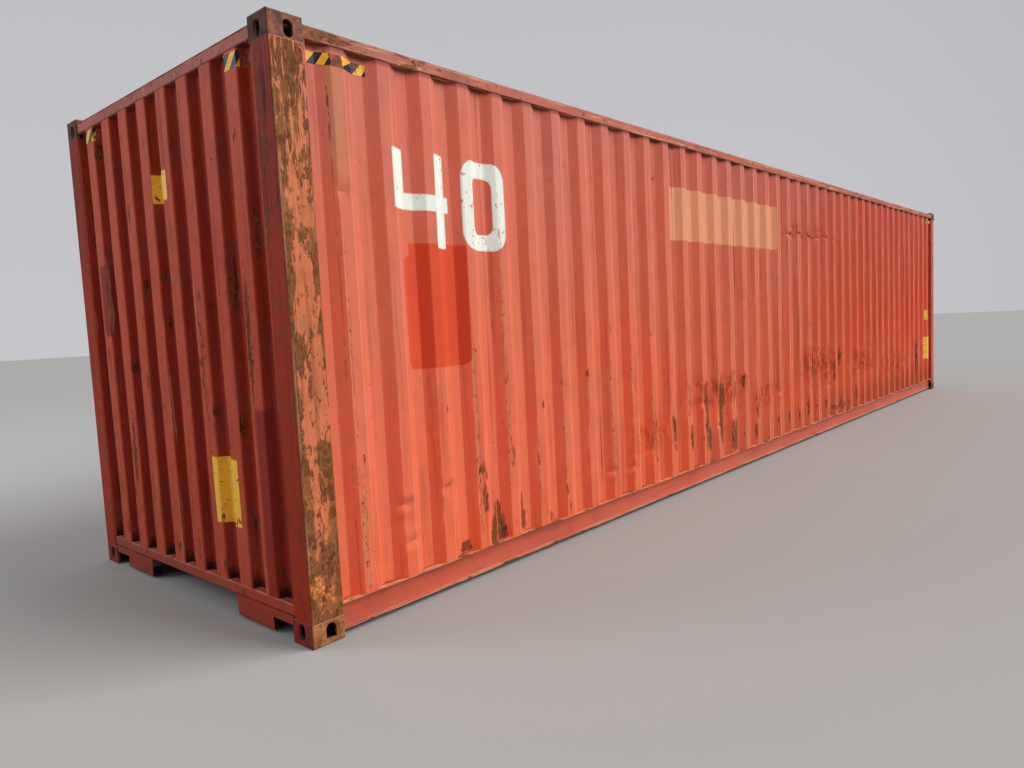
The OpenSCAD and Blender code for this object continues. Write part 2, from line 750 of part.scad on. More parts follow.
// Keepers on the header and the sill that the cams hook behind.
module cam_keepers() color([0.66, 0.28, 0.22])
  for (s = [-1, 1]) at_door(s) for (y = rod_ys) for (e = [0, 1])
    translate([-sill_face, y, e == 0 ? rod_low - 8 : rod_high - cam_high - 8]) {
      h = cam_high + 16;
      reach = cam_long + 10 + gap;
      translate([0, -reach - 12, 0]) cube([6, reach + 12 - rod_r - 2, h]);
      translate([0, -reach - 12, 0]) cube([sill_face - 8, 12, h]);
      translate([0, rod_r + gap, 0]) cube([sill_face - 12, 12, h]);
    }

// Places handle pieces: y runs from each rod towards the other one.
module at_handle(i) {
  translate([0, rod_ys[i], handle_z - i * handle_drop]) mirror([0, i, 0]) children();
}

// Handles, each on a hub round its rod and lying level across the door.
module door_handles() color([0.7, 0.68, 0.66])
  for (s = [-1, 1]) at_door(s) for (i = [0, 1]) at_handle(i) translate([-rod_set, 0, 0]) {
    r = rod_r + gap;
    difference() {
      union() {
        translate([0, 0, -30]) cylinder(h = 60, r = r + 5);
        translate([6, 0, -9]) cube([8, handle_len, 18]);
      }
      translate([0, 0, -31]) cylinder(h = 62, r = r);
    }
  }

module handle_catches() color([0.6, 0.58, 0.56])
  for (s = [-1, 1]) at_door(s) for (i = [0, 1]) at_handle(i)
    translate([-panel_face, handle_len - 90, 0]) {
      translate([0, 0, -45]) cube([6, 50, 90]);
      for (z = [-9 - gap - 6, 9 + gap]) translate([6, 0, z]) cube([panel_face - rod_set + 12, 50, 6]);
    }

// Hinges: lugs on the post, a pin, and a blade that steps back to the door face.
module hinges() {
  px = -rear_set + 13.5;
  py = half_w - rear_in - rear_face + hinge_in;
  step = (leaf_h - 2 * hinge_end) / (hinge_count - 1);
  for (i = [0:hinge_count - 1]) translate([0, 0, leaf_low + hinge_end + i * step]) {
    translate([px, py, -hinge_high / 2 - 22]) cylinder(h = hinge_high + 44, r = hinge_r);
    for (z = [-hinge_high / 2 - 16, hinge_high / 2 + 1]) difference() {
      union() {
        translate([-rear_set, py - 14, z]) cube([12, 28, 15]);
        translate([px, py, z]) cylinder(h = 15, r = 13);
      }
      translate([px, py, z - 1]) cylinder(h = 17, r = hinge_r + gap);
    }
    difference() {
      union() {
        translate([px, py, -hinge_high / 2]) cylinder(h = hinge_high, r = 13);
        translate([0, 0, -hinge_high / 2]) linear_extrude(hinge_high)
          bent([[px - 3, py - 8], [px - 3, py - hinge_in - 6], [-leaf_set, py - hinge_in - 30],
            [-leaf_set, py - hinge_reach]], 8, 4);
      }
      translate([px, py, -hinge_high / 2 - 1]) cylinder(h = hinge_high + 2, r = hinge_r + gap);
    }
  }
}

module near_hinges() color([0.7, 0.28, 0.22]) at_door(-1) hinges();
module far_hinges() color([0.7, 0.28, 0.22]) at_door(1) hinges();

// Rubber seal round each door, with a wider lip over the outer face.
module seal() {
  x0 = -leaf_set - leaf_deep;
  w = leaf_space - 2 * gap;
  difference() {
    translate([x0, leaf_y - w / 2 + gap, leaf_low - w])
      cube([leaf_deep, leaf_w + w * 1.5 - gap, leaf_h + 2 * w]);
    translate([x0 - 1, leaf_y - gap, leaf_low - gap])
      cube([leaf_deep + 2, leaf_w + 2 * gap, leaf_h + 2 * gap]);
  }
}

module near_door_seal() color([0.06, 0.06, 0.06]) at_door(-1) seal();
module far_door_seal() color([0.06, 0.06, 0.06]) at_door(1) seal();

front_bottom_castings();
front_top_castings();
rear_bottom_castings();
rear_top_castings();
front_posts();
rear_posts();
rear_post_channels();
top_side_rails();
bottom_side_rails();
front_top_rail();
front_bottom_rail();
front_bolsters();
door_header();
door_sill();
front_wall();
near_side_wall();
far_side_wall();
roof_sheet();
roof_end_plates();
roof_guard_plates();
floor_boards();
floor_keel();
cross_members();
tunnel_outriggers();
tunnel_plate();
tunnel_bows();
tunnel_tail();
near_door_panel();
far_door_panel();
near_door_frame();
far_door_frame();
near_lock_rods();
far_lock_rods();
rod_brackets();
cam_keepers();
door_handles();
handle_catches();
near_hinges();
far_hinges();
near_door_seal();
far_door_seal();
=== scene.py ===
from functools import reduce
from math import cos, pi, radians, sin

import bmesh
import bpy
import numpy as np
from mathutils import Matrix, Vector


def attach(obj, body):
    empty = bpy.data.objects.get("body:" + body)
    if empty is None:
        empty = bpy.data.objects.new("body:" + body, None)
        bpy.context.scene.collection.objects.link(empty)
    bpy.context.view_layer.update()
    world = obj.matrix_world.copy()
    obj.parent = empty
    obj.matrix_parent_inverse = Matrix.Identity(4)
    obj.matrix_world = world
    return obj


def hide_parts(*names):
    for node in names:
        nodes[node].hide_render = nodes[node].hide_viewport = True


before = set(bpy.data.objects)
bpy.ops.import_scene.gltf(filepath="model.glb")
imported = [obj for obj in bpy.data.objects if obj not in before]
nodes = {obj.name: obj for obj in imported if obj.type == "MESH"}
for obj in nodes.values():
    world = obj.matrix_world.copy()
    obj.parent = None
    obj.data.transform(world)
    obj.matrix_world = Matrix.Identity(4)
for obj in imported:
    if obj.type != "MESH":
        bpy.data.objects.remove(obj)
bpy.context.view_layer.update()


# Underframe: channel cross members, the tunnel plate with its bows and outriggers, and the tail.
# All is folded steel, welded between the bottom side rails and coated with dull underseal that
# holds road dirt and lets rust through.

class Value:
    """What a shader node puts out; arithmetic with it adds the nodes that work it out."""

    def __init__(self, socket):
        self.socket = socket
        self.tree = socket.id_data

    def __add__(self, other):
        return calc("ADD", self, other)

    def __radd__(self, other):
        return calc("ADD", other, self)

    def __sub__(self, other):
        return calc("SUBTRACT", self, other)

    def __rsub__(self, other):
        return calc("SUBTRACT", other, self)

    def __mul__(self, other):
        return calc("MULTIPLY", self, other)

    def __truediv__(self, other):
        return calc("DIVIDE", self, other)

    def __abs__(self):
        return calc("ABSOLUTE", self)


def fill(sockets, values):
    """Gives each socket its number or colour, or links what another node puts out to it."""
    for name, value in values.items():
        if isinstance(value, Value):
            value.tree.links.new(value.socket, sockets[name])
        elif sockets[name].type == "RGBA":
            sockets[name].default_value = (*value, 1)
        else:
            sockets[name].default_value = value


def add_node(kind, inputs, tree=None, **settings):
    """A shader node, in the same tree as what goes into it."""
    tree = tree or next(value.tree for value in inputs.values() if isinstance(value, Value))
    made = tree.nodes.new("ShaderNode" + kind)
    for name, setting in settings.items():
        setattr(made, name, setting)
    fill(made.inputs, inputs)
    return made


def output(kind, inputs, which=0, **settings):
    return Value(add_node(kind, inputs, **settings).outputs[which])


def calc(operation, a, b=0.0, clamp=False):
    return output("Math", {0: a, 1: b}, operation=operation, use_clamp=clamp)


def most(a, b):
    return calc("MAXIMUM", a, b)


def least(a, b):
    return calc("MINIMUM", a, b)


def mix(amount, a, b, how="MIX"):
    return output("Mix", {0: amount, 6: a, 7: b}, 2, data_type="RGBA", blend_type=how)


def noise(place, scale, detail, rough=0.5, distort=0.0):
    return output("TexNoise", {"Vector": place, "Scale": scale, "Detail": detail,
        "Roughness": rough, "Distortion": distort})


def stretched(place, scale):
    return output("Mapping", {"Vector": place, "Scale": scale})


def streaky(place, scale, detail, rough=0.5, distort=0.0):
    """Noise with a scale of its own on each axis."""
    return noise(stretched(place, scale), 1.0, detail, rough, distort)


def ease(amount, low, high):
    """0 below low, 1 above high and smooth between; low may be the larger one."""
    return output("MapRange", {0: amount, 1: low, 2: high}, interpolation_type="SMOOTHSTEP")


def spread(amount, low=0.27, high=0.73):
    """The same in a straight line, as given for the usual range of noise."""
    return output("MapRange", {0: amount, 1: low, 2: high})


def share_of(pattern, amount, soft):
    """Where a pattern takes its share of the surface, with soft edges."""
    limit = 1.0 - amount
    return ease(pattern, limit - soft, limit + soft)


def axes(place):
    """How far each point lies along x, y and z."""
    return [Value(socket) for socket in add_node("SeparateXYZ", {0: place}).outputs]


socket_kinds = {"Place": "Vector", "Paint": "Color", "Pale": "Color", "Colour": "Color"}


def shared_group(name, ins, outs):
    """A shader node group with its named sockets, and the values that go into it."""
    made = bpy.data.node_groups.new(name, "ShaderNodeTree")
    for labels, in_out in ((ins, "INPUT"), (outs, "OUTPUT")):
        for label in labels.split():
            made.interface.new_socket(label, in_out=in_out,
                socket_type="NodeSocket" + socket_kinds.get(label, "Float"))
    given = made.nodes.new("NodeGroupInput").outputs
    return made, [Value(given[label]) for label in ins.split()]


def put_out(group, **values):
    fill(group.nodes.new("NodeGroupOutput").inputs, values)


def use_group(group, **inputs):
    made = add_node("Group", inputs, node_tree=group)
    return {socket.name: Value(socket) for socket in made.outputs}


# Rust breaks out in blotches; Amount is how much of the surface they take.
rust_group, (place, amount, size) = shared_group("rust", "Place Amount Size",
    "Mask Colour Height")
rusty = share_of(spread(noise(place, size, 9, 0.62, 0.3)), amount, 0.035)
grain = noise(place, size * 3.1, 8, 0.7)
tone = mix(ease(grain, 0.34, 0.52), (0.045, 0.016, 0.009), (0.165, 0.052, 0.021))
tone = mix(ease(grain, 0.50, 0.68), tone, (0.36, 0.125, 0.040))
pits = noise(place, size * 9.0, 4, 0.6)
put_out(rust_group, Mask=rusty, Colour=tone, Height=(pits - 0.55) * rusty)

# Bare steel where the paint has gone: olive brown with a fine upright grain, in ragged patches.
steel_group, (place, amount, size) = shared_group("bare steel", "Place Amount Size",
    "Mask Colour Height")
ragged = spread(noise(stretched(place, (1, 1, 0.36)), size, 10, 0.64, 0.4))
bared = share_of(ragged, amount, 0.045)
grain = noise(stretched(place, (1, 1, 0.3)), 105.0, 6, 0.66)
tone = mix(ease(grain, 0.36, 0.60), (0.090, 0.033, 0.014), (0.26, 0.098, 0.035))
broad = ease(noise(place, 7.0, 5, 0.6), 0.48, 0.66)
tone = mix(broad * 0.55, tone, (0.35, 0.138, 0.052))
put_out(steel_group, Mask=bared, Colour=tone, Height=(grain - 0.9) * bared)

# Paint rubbed thin by years of handling: tan brush marks, far longer than wide.
thin_group, (place, amount) = shared_group("rubbed paint", "Place Amount", "Mask Colour")
rubbed = share_of(spread(streaky(place, (44, 44, 1.7), 8, 0.62, 0.2)), amount, 0.10)
tone = noise(stretched(place, (1, 1, 0.2)), 80.0, 5, 0.6)
tone = mix(ease(tone, 0.35, 0.62), (0.44, 0.165, 0.075), (0.66, 0.29, 0.15))
put_out(thin_group, Mask=rubbed, Colour=tone)

# Old paint fades, is streaked by rain and takes grime.
paint_group, (place, paint, pale, fade, streaks, grime) = shared_group("old paint",
    "Place Paint Pale Fade Streaks Grime", "Colour Roughness")
tint = calc("ADD", fade, (noise(place, 1.1, 4, 0.55) - 0.5) * 0.9, clamp=True)
rain = streaky(place, (22, 22, 0.9), 5, 0.6)
colour = mix(ease(rain, 0.52, 0.74) * streaks, mix(tint, paint, pale), (0.30, 0.13, 0.10),
    "MULTIPLY")
colour = mix(ease(rain, 0.46, 0.28) * streaks * 0.35, colour, pale)
dirty = ease(noise(place, 5.5, 7, 0.68), 0.42, 0.75) * grime
colour = mix(dirty, colour, (0.11, 0.062, 0.045))
gloss = noise(place, 160, 2, 0.5) * 0.16 + (tint * 0.12 + 0.36)
put_out(paint_group, Colour=colour, Roughness=calc("ADD", gloss, dirty * 0.25, clamp=True))


def new_finish(name):
    """A material, and the place of each point on the object."""
    made = bpy.data.materials.new(name)
    made.use_nodes = True
    return made, output("TexCoord", {}, "Object", tree=made.node_tree)


def rougher(old, where, more=0.3):
    return calc("ADD", old["Roughness"], where * more, clamp=True)


def set_shader(finish, colour, rough, height, depth, shine=0.25):
    """Fills in the material's own shader; depth is how far its relief stands out, in metres."""
    relief = output("Bump", {"Strength": 1.0, "Distance": depth, "Height": height})
    fill(finish.node_tree.nodes["Principled BSDF"].inputs, {"Base Color": colour,
        "Roughness": rough, "Normal": relief, "Specular IOR Level": shine})


def painted_steel(name, paint, pale, fade=0.3, streaks=0.3, grime=0.3, rust=0.1, rust_size=9.0,
        bare=0.0, rubbed=0.0, lengthwise=False, shine=0.25):
    """Weathered paint; its colour, and how much is bare or rubbed, may be functions of the place.
    Its marks run upright, or along x on a lengthwise piece."""
    made, place = new_finish(name)
    at = axes(place)
    if lengthwise:
        place = output("Mapping", {"Vector": place, "Rotation": (0, pi / 2, 0)})

    def worked_out(value):
        return value(place, *at) if callable(value) else value

    old = use_group(paint_group, Place=place, Paint=worked_out(paint), Pale=pale, Fade=fade,
        Streaks=streaks, Grime=grime)
    thin = use_group(thin_group, Place=place, Amount=worked_out(rubbed))
    worn = use_group(steel_group, Place=place, Amount=worked_out(bare), Size=15.0)
    red = use_group(rust_group, Place=place, Amount=rust, Size=rust_size)
    colour = old["Colour"]
    for coat in (thin, worn, red):
        colour = mix(coat["Mask"], colour, coat["Colour"])
    set_shader(made, colour, rougher(old, most(red["Mask"], worn["Mask"])),
        red["Height"] + worn["Height"], 0.0012, shine)
    return made


def band(amount, low, high, soft=0.01):
    """1 where an amount lies between two limits."""
    return ease(amount, low - soft, low + soft) * ease(amount, high + soft, high - soft)


def dress(finish, *names):
    """Gives CAD nodes their material."""
    for name in names:
        mesh = nodes[name].data
        mesh.materials.clear()
        mesh.materials.append(finish)


underseal = painted_steel("underseal", (0.045, 0.020, 0.015), (0.11, 0.050, 0.036), streaks=0.1,
    grime=0.7, rust=0.34, rust_size=7.0)
dress(underseal, "cross_members", "tunnel_outriggers", "tunnel_plate", "tunnel_bows",
    "tunnel_tail", "floor_keel")


# Floor boards: oiled plywood laid in two rows on the cross members, each side of a flat bar,
# and screwed down.

board_wood, place = new_finish("oiled_plywood")
grain = streaky(place, (1.2, 30, 30), 6, 0.6, 0.4)
colour = mix(ease(grain, 0.35, 0.65), (0.15, 0.080, 0.042), (0.33, 0.19, 0.10))
set_shader(board_wood, colour, 0.62, grain, 0.0006)
dress(board_wood, "floor_boards")


# Corner castings: hollow cast steel blocks welded to the ends of the posts. Twistlocks and hooks
# have taken most of their paint, so they are brown with rust. A painted highlight makes the rounded
# edges paler, and painted shade darkens the front end faces and makes the holes and inner faces near
# black.

half_long, half_wide, full_height = 6.096, 1.219, 2.896


def casting_finish():
    made, place = new_finish("casting_rust")
    x, y, z = axes(place)
    from_end, from_side = half_long - abs(x), half_wide - abs(y)
    from_top = least(z, full_height - z)
    inmost = least(from_end, from_side)
    cloud = ease(noise(place, 14, 9, 0.64), 0.36, 0.62)
    colour = mix(cloud, (0.105, 0.037, 0.024), (0.30, 0.098, 0.056))
    foot = ease(z, 0.5, 0.3)
    orange = mix(cloud, (0.17, 0.062, 0.024), (0.44, 0.165, 0.052))
    colour = mix(foot * ease(from_side, 0.006, 0.002), colour, orange)
    red = ease(from_end, 0.005, 0.002) * ease(noise(place, 17, 8, 0.6), 0.62, 0.50)
    colour = mix(red * foot, colour, (0.35, 0.048, 0.030))
    # painted highlight: the rounded edges are made paler
    sharp = least(most(from_end, from_side), most(inmost, from_top))
    colour = mix(ease(sharp, 0.009, 0.003) * cloud * 0.7, colour, (0.50, 0.22, 0.12))
    weld = band(from_top, 0.1145, 0.121, 0.0015) * ease(noise(place, 60, 4), 0.36, 0.46)
    colour = mix(weld * 0.8, colour, (0.52, 0.27, 0.16))
    # painted shade: the end faces of the front castings are darkened, most at the top
    shade = mix(foot, (0.36, 0.30, 0.32), (0.62, 0.40, 0.42))
    colour = mix(ease(x, -6.0900, -6.0945), colour, shade, "MULTIPLY")
    flecks = ease(noise(place, 46, 6, 0.62), 0.60, 0.66)
    colour = mix(flecks, colour, (0.055, 0.022, 0.014))
    # painted shade: near black in the holes and on the faces that turn in, away from the outside
    inside = ease(least(inmost, from_top), 0.008, 0.018)
    colour = mix(inside, colour, (0.010, 0.006, 0.005))
    set_shader(made, colour, 0.72, noise(place, 120, 5, 0.66), 0.0008)
    return made


dress(casting_finish(), "front_bottom_castings", "front_top_castings", "rear_bottom_castings",
    "rear_top_castings")


# Front corner posts: thick steel pressings welded between the castings, with a return to each
# wall. On the post in view the side face is rubbed through to olive brown steel at the top and the
# foot, flecked between, with orange rust low down; its end face keeps the dark red paint.

def post_finish():
    made, place = new_finish("front_post_paint")
    x, y, z = axes(place)
    side = ease(y, -1.2130, -1.2180) * ease(x, -6.0957, -6.0925)
    brushed = ease(streaky(place, (110, 110, 7.0), 9, 0.68), 0.40, 0.60)
    coral = mix(brushed, (0.70, 0.180, 0.084), (0.48, 0.160, 0.066))
    dull = mix(ease(z, 1.7, 2.3), (0.35, 0.033, 0.012), (0.24, 0.018, 0.008))
    pale = mix(side, (0.34, 0.040, 0.018), (0.62, 0.20, 0.09))
    old = use_group(paint_group, Place=place, Paint=mix(side, dull, coral), Pale=pale, Fade=0.2,
        Streaks=0.55, Grime=0.3)
    foot, head = ease(z, 0.95, 0.40), ease(z, 1.70, 2.40)
    low = side * ease(z, 0.66, 0.40)
    arris = ease(x, -6.068, -6.082) * ease(y, -1.200, -1.214)
    outer, inner = side * ease(x, -6.030, -6.078), side * ease(x, -5.965, -5.925)
    much = (0.10 + side * 0.31 + low * 0.25 + side * head * 0.19 + arris * 0.22 + outer * 0.20
        + inner * 0.10)
    steel = use_group(steel_group, Place=place, Amount=much, Size=6.5)
    colour = mix(steel["Mask"], old["Colour"], steel["Colour"])
    rim = calc("MULTIPLY", steel["Mask"] * (1.0 - steel["Mask"]), 2.4, clamp=True)
    colour = mix(rim, colour, (0.07, 0.026, 0.012))
    glow = ease(noise(stretched(place, (1, 1, 0.7)), 9.0, 7, 0.62), 0.50, 0.60)
    fine = ease(noise(place, 70, 6, 0.7), 0.40, 0.60)
    orange = mix(fine, (0.40, 0.120, 0.032), (0.84, 0.275, 0.095))
    colour = mix(glow * foot * side * 0.85, colour, orange)
    flame = ease(streaky(place, (30, 30, 5.5), 7, 0.66, 1.1), 0.50, 0.57)
    colour = mix(flame * head * side * 0.75, colour, (0.72, 0.245, 0.135))
    flecks = ease(noise(stretched(place, (1, 1, 0.5)), 26, 10, 0.72), 0.545, 0.59)
    cracks = ease(streaky(place, (60, 60, 3.0), 5, 0.6), 0.585, 0.635)
    cracks = cracks * (1.0 - side) * ease(z, 1.2, 2.0)
    dark = most(flecks * (0.55 + side * 0.35), cracks)
    fleck = mix(foot, (0.15, 0.060, 0.026), (0.13, 0.034, 0.018))
    colour = mix(dark, colour, mix(cracks, fleck, (0.05, 0.018, 0.012)))
    strip = ease(noise(stretched(place, (1, 1, 0.15)), 24, 5), 0.42, 0.55)
    strip = band(x, -6.0925, -6.083, 0.002) * strip
    colour = mix(strip * side * 0.5, colour, (0.44, 0.25, 0.14))
    set_shader(made, colour, rougher(old, steel["Mask"]), steel["Height"] + dark * -1.0, 0.0010,
        0.05)
    return made


dress(post_finish(), "front_posts")


# Rear corner posts, door sill and header, with the door frames and what is welded to them, and the
# front bottom rail with its bolsters: folded plate in the red paint, rusting at edges and welds.
# At the front, what faces in under the floor is near black: underseal and road dirt, with painted
# shade. The front pieces take a darker red, partly as painted shade, and the front rail a painted
# highlight along its top edge and painted shade low down.

def frame_red_and_under_shade(place, x, y, z):
    front = ease(x, -5.9, -5.95)
    # painted shade: near black under the floor line, behind the front face, at the front end
    under = ease(z, 0.129, 0.125) * ease(x, -6.0895, -6.0870)
    # the front pieces a darker red, partly painted shade
    ends = mix(front, (0.56, 0.075, 0.040), (0.43, 0.046, 0.022))
    return mix(under * front, ends, (0.012, 0.007, 0.006))


frame_paint = painted_steel("frame_paint", frame_red_and_under_shade, (0.56, 0.110, 0.070), fade=0.18,
    grime=0.4, rust=0.22, rust_size=11.0, bare=0.15, rubbed=0.10, shine=0.18)
dress(frame_paint, "rear_posts", "rear_post_channels", "door_header", "door_sill",
    "near_door_frame", "far_door_frame", "cam_keepers", "near_hinges", "far_hinges")


def front_rail_colour(place, x, y, z):
    over_tunnel = most(ease(abs(y), 0.60, 0.45), ease(y, 0.3, 0.6) * 0.7)
    wide = ease(noise(stretched(place, (1, 0.3, 1)), 15, 7, 0.64), 0.38, 0.56)
    rusty = over_tunnel * wide * ease(x, -6.075, -6.085)
    colour = mix(rusty * 0.65, frame_red_and_under_shade(place, x, y, z), (0.24, 0.085, 0.045))
    fine = ease(noise(stretched(place, (1, 0.25, 1)), 60, 6, 0.66), 0.42, 0.54)
    # the pale top edge is a painted highlight; the dark seam line and the dark lower edge are marks on
    # the rail
    for edge, much, tone in ((ease(z, 0.178, 0.184), 0.7, (0.62, 0.26, 0.17)),
            (band(z, 0.126, 0.133, 0.002), 0.8, (0.06, 0.022, 0.013)),
            (ease(z, 0.030, 0.020), 0.7, (0.10, 0.036, 0.020))):
        colour = mix(edge * fine * much, colour, tone)
    # painted shade: the whole rail a little darker, more below the seam line
    shade = mix(ease(z, 0.133, 0.118), (0.86, 0.84, 0.84), (0.74, 0.64, 0.66))
    return mix(1.0, colour, shade, "MULTIPLY")


front_rail_paint = painted_steel("front_rail_paint", front_rail_colour, (0.48, 0.085, 0.050),
    fade=0.12, streaks=0.2, grime=0.45, rust=0.24, rust_size=14.0, bare=0.14, rubbed=0.04,
    shine=0.14)
dress(front_rail_paint, "front_bottom_rail", "front_bolsters")


# Top rails: square tubes welded between the top castings, with the roof lapping over them. The
# long rail in view is brown with rust near the front and rubbed all along, and the front one keeps
# its dark red, darkened partly as painted shade. A painted highlight runs along the upper edge, and
# a painted shadow along the lower edge where the rail overhangs the wall.

def rail_bare(place, x, y, z):
    long_side = ease(y, -1.10, -1.18)
    return 0.10 + long_side * ease(x, -4.6, -5.7) * 0.26 + long_side * 0.14


def rail_rubbed(place, x, y, z):
    return 0.16 + ease(y, -1.10, -1.18) * 0.22


def rail_colour(place, x, y, z):
    long_side = mix(ease(x, -4.4, -5.8), (0.44, 0.086, 0.050), (0.34, 0.098, 0.052))
    front = mix(ease(y, 1.10, 1.18), (0.29, 0.033, 0.014), (0.50, 0.080, 0.044))
    colour = mix(ease(y, -1.10, -1.18), front, long_side)
    patchy = ease(noise(stretched(place, (1, 1, 0.2)), 16, 5), 0.40, 0.56)
    # painted highlight along the upper edge
    colour = mix(ease(z, 2.853, 2.860) * patchy * 0.6, colour, (0.64, 0.26, 0.17))
    # painted shadow along the lower edge, over the wall
    return mix(ease(z, 2.812, 2.805) * 0.85, colour, (0.035, 0.012, 0.008))


top_rail_paint = painted_steel("top_rail_paint", rail_colour, (0.58, 0.16, 0.11), fade=0.18,
    streaks=0.6, grime=0.45, rust=0.22, rust_size=14.0, bare=rail_bare, rubbed=rail_rubbed,
    lengthwise=True, shine=0.18)
dress(top_rail_paint, "top_side_rails", "front_top_rail", "roof_end_plates",
    "roof_guard_plates")


# Long side wall in view: eleven pressed sheets, four ridges each, butt welded in the hollows and
# welded to the rails and posts all round. The ridges are dented and scraped low down, where the
# container is handled, and the paint is sun faded, patched and rusting at the scrapes.

def enter_edit():
    bpy.ops.object.mode_set(mode="EDIT")


def leave_edit():
    bpy.ops.object.mode_set(mode="OBJECT")


def pick(obj, test, mode="VERT"):
    """In edit mode, selects the vertices, edges or faces that the test accepts."""
    bpy.ops.mesh.select_mode(type=mode)
    bpy.ops.mesh.select_all(action="DESELECT")
    bm = bmesh.from_edit_mesh(obj.data)
    for thing in {"VERT": bm.verts, "EDGE": bm.edges, "FACE": bm.faces}[mode]:
        thing.select_set(bool(test(thing)))
    bm.select_flush_mode()
    bmesh.update_edit_mesh(obj.data)


def length_along(edge, axis):
    return abs(edge.verts[0].co[axis] - edge.verts[1].co[axis])


def cut(at, normal, drop=False):
    """Cuts the whole mesh with a plane; drop takes off what is in front of it."""
    bpy.ops.mesh.select_all(action="SELECT")
    bpy.ops.mesh.bisect(plane_co=at, plane_no=normal, clear_outer=drop)


def cut_at_x(*places):
    for x in places:
        cut((x, 0, 0), (1, 0, 0))


def face_outwards():
    bpy.ops.mesh.select_all(action="SELECT")
    bpy.ops.mesh.normals_make_consistent(inside=False)


def flat_sheet(name, turn, size, at):
    """A plane stood upright, at its size and place, left in edit mode."""
    bpy.ops.object.select_all(action="DESELECT")
    bpy.ops.mesh.primitive_plane_add(size=1, rotation=turn)
    made = bpy.context.object
    made.name = name
    bpy.ops.object.transform_apply(location=False, rotation=True, scale=False)
    enter_edit()
    bpy.ops.mesh.select_all(action="SELECT")
    bpy.ops.transform.resize(value=size, center_override=(0, 0, 0))
    bpy.ops.transform.translate(value=at)
    return made


facing_side, facing_end = (pi / 2, 0, 0), (pi / 2, 0, pi / 2)
bend_radius = 0.0035


def ridged_sheet(name, profile, count, high, rows):
    """A pressed sheet from x = 0: ridges at y = 0 towards -Y, hollows at y = deep."""
    pitch, flat, slope, deep = profile
    sheet = flat_sheet(name, facing_side, (pitch, 1, high), (pitch / 2, deep, high / 2))
    a, mid = flat / 2, pitch / 2
    bends = [mid - a - slope, mid - a, mid + a, mid + a + slope]
    cut_at_x(*bends)
    pick(sheet, lambda v: abs(v.co.x - mid) < a + 1e-5)
    bpy.ops.transform.translate(value=(0, -deep, 0))
    pick(sheet, lambda e: min(abs(e.verts[0].co.x - x) for x in bends) < 1e-4
        and length_along(e, 0) < 1e-5, "EDGE")
    bpy.ops.mesh.bevel(offset=bend_radius, offset_type="OFFSET", segments=2, affect="EDGES")
    for share in (0.2, 0.6):
        cut_at_x(mid - a * share, mid + a * share)
    for share in (0.25, 0.5, 0.75):
        cut_at_x(mid - a - slope * share, mid + a + slope * share)
    leave_edit()
    array = sheet.modifiers.new("repeat", "ARRAY")
    array.count = count
    array.use_relative_offset = False
    array.use_constant_offset = True
    array.constant_offset_displace = (pitch, 0, 0)
    array.use_merge_vertices = True
    array.merge_threshold = 0.0002
    bpy.ops.object.modifier_apply(modifier="repeat")
    enter_edit()
    pick(sheet, lambda e: length_along(e, 2) > high * 0.9, "EDGE")
    bpy.ops.mesh.subdivide(number_cuts=rows)
    leave_edit()
    return sheet


def points_of(obj):
    co = np.empty(len(obj.data.vertices) * 3)
    obj.data.vertices.foreach_get("co", co)
    return co.reshape(-1, 3)


def set_points(obj, co):
    obj.data.vertices.foreach_set("co", co.ravel())
    obj.data.update()


def choose(obj):
    bpy.ops.object.select_all(action="DESELECT")
    obj.select_set(True)
    bpy.context.view_layer.objects.active = obj


def thicken(obj, thickness):
    """Gives a sheet its thickness behind its outer face."""
    choose(obj)
    wall = obj.modifiers.new("thickness", "SOLIDIFY")
    wall.thickness, wall.offset = thickness, -1
    bpy.ops.object.modifier_apply(modifier="thickness")


def smooth_bends(obj):
    choose(obj)
    bpy.ops.object.shade_smooth_by_angle(angle=radians(35))


def mark(obj, name, values):
    layer = obj.data.attributes.new(name, "FLOAT", "POINT")
    layer.data.foreach_set("value", np.clip(values, 0, 1).astype(np.float32))


def spot(x, z, middle_x, middle_z, half_wide, half_high, power=2):
    """1 in the middle of a spot, falling off towards its edge."""
    return np.exp(-((x - middle_x) / half_wide) ** power - ((z - middle_z) / half_high) ** power)


def blobs(x, z, spots):
    """The strongest of many soft spots: x, z, half width, half height and strength of each."""
    strongest = np.zeros_like(x)
    for *place, much in spots:
        strongest = np.maximum(strongest, much * spot(x, z, *place, power=4))
    return strongest


side_face, wall_low, wall_high = -1.214, 0.180, 2.803
wall_tall = wall_high - wall_low
wall_start, wall_end = -5.9137, 5.8997
ridge_pitch, ridge_deep = 0.278, 0.036
side_profile = (ridge_pitch, 0.072, 0.068, ridge_deep)  # pitch, flat, slope and depth
first_ridge = wall_start + 0.177
wall_left = first_ridge - ridge_pitch / 2
draw = np.random.default_rng(11)

side_dents = [
    # x, z, half width, half height, depth inwards
    (-5.740, 2.120, 0.05, 0.05, 0.006), (-5.700, 0.330, 0.05, 0.07, 0.010),
    (-5.470, 0.400, 0.05, 0.16, 0.008), (-4.920, 0.500, 0.03, 0.09, 0.006),
    (-3.020, 0.420, 0.05, 0.06, 0.010), (-2.690, 0.620, 0.05, 0.10, 0.010),
    (-2.400, 0.700, 0.05, 0.12, 0.012), (-2.120, 0.760, 0.06, 0.10, 0.014),
    (-1.850, 0.560, 0.05, 0.16, 0.016), (-1.570, 0.620, 0.05, 0.10, 0.012),
    (-1.010, 0.900, 0.05, 0.20, 0.010), (0.380, 0.860, 0.06, 0.10, 0.014),
    (0.650, 0.820, 0.05, 0.12, 0.012), (0.940, 0.900, 0.05, 0.10, 0.012),
    (2.050, 0.600, 0.06, 0.12, 0.012), (4.870, 0.700, 0.05, 0.20, 0.010)]
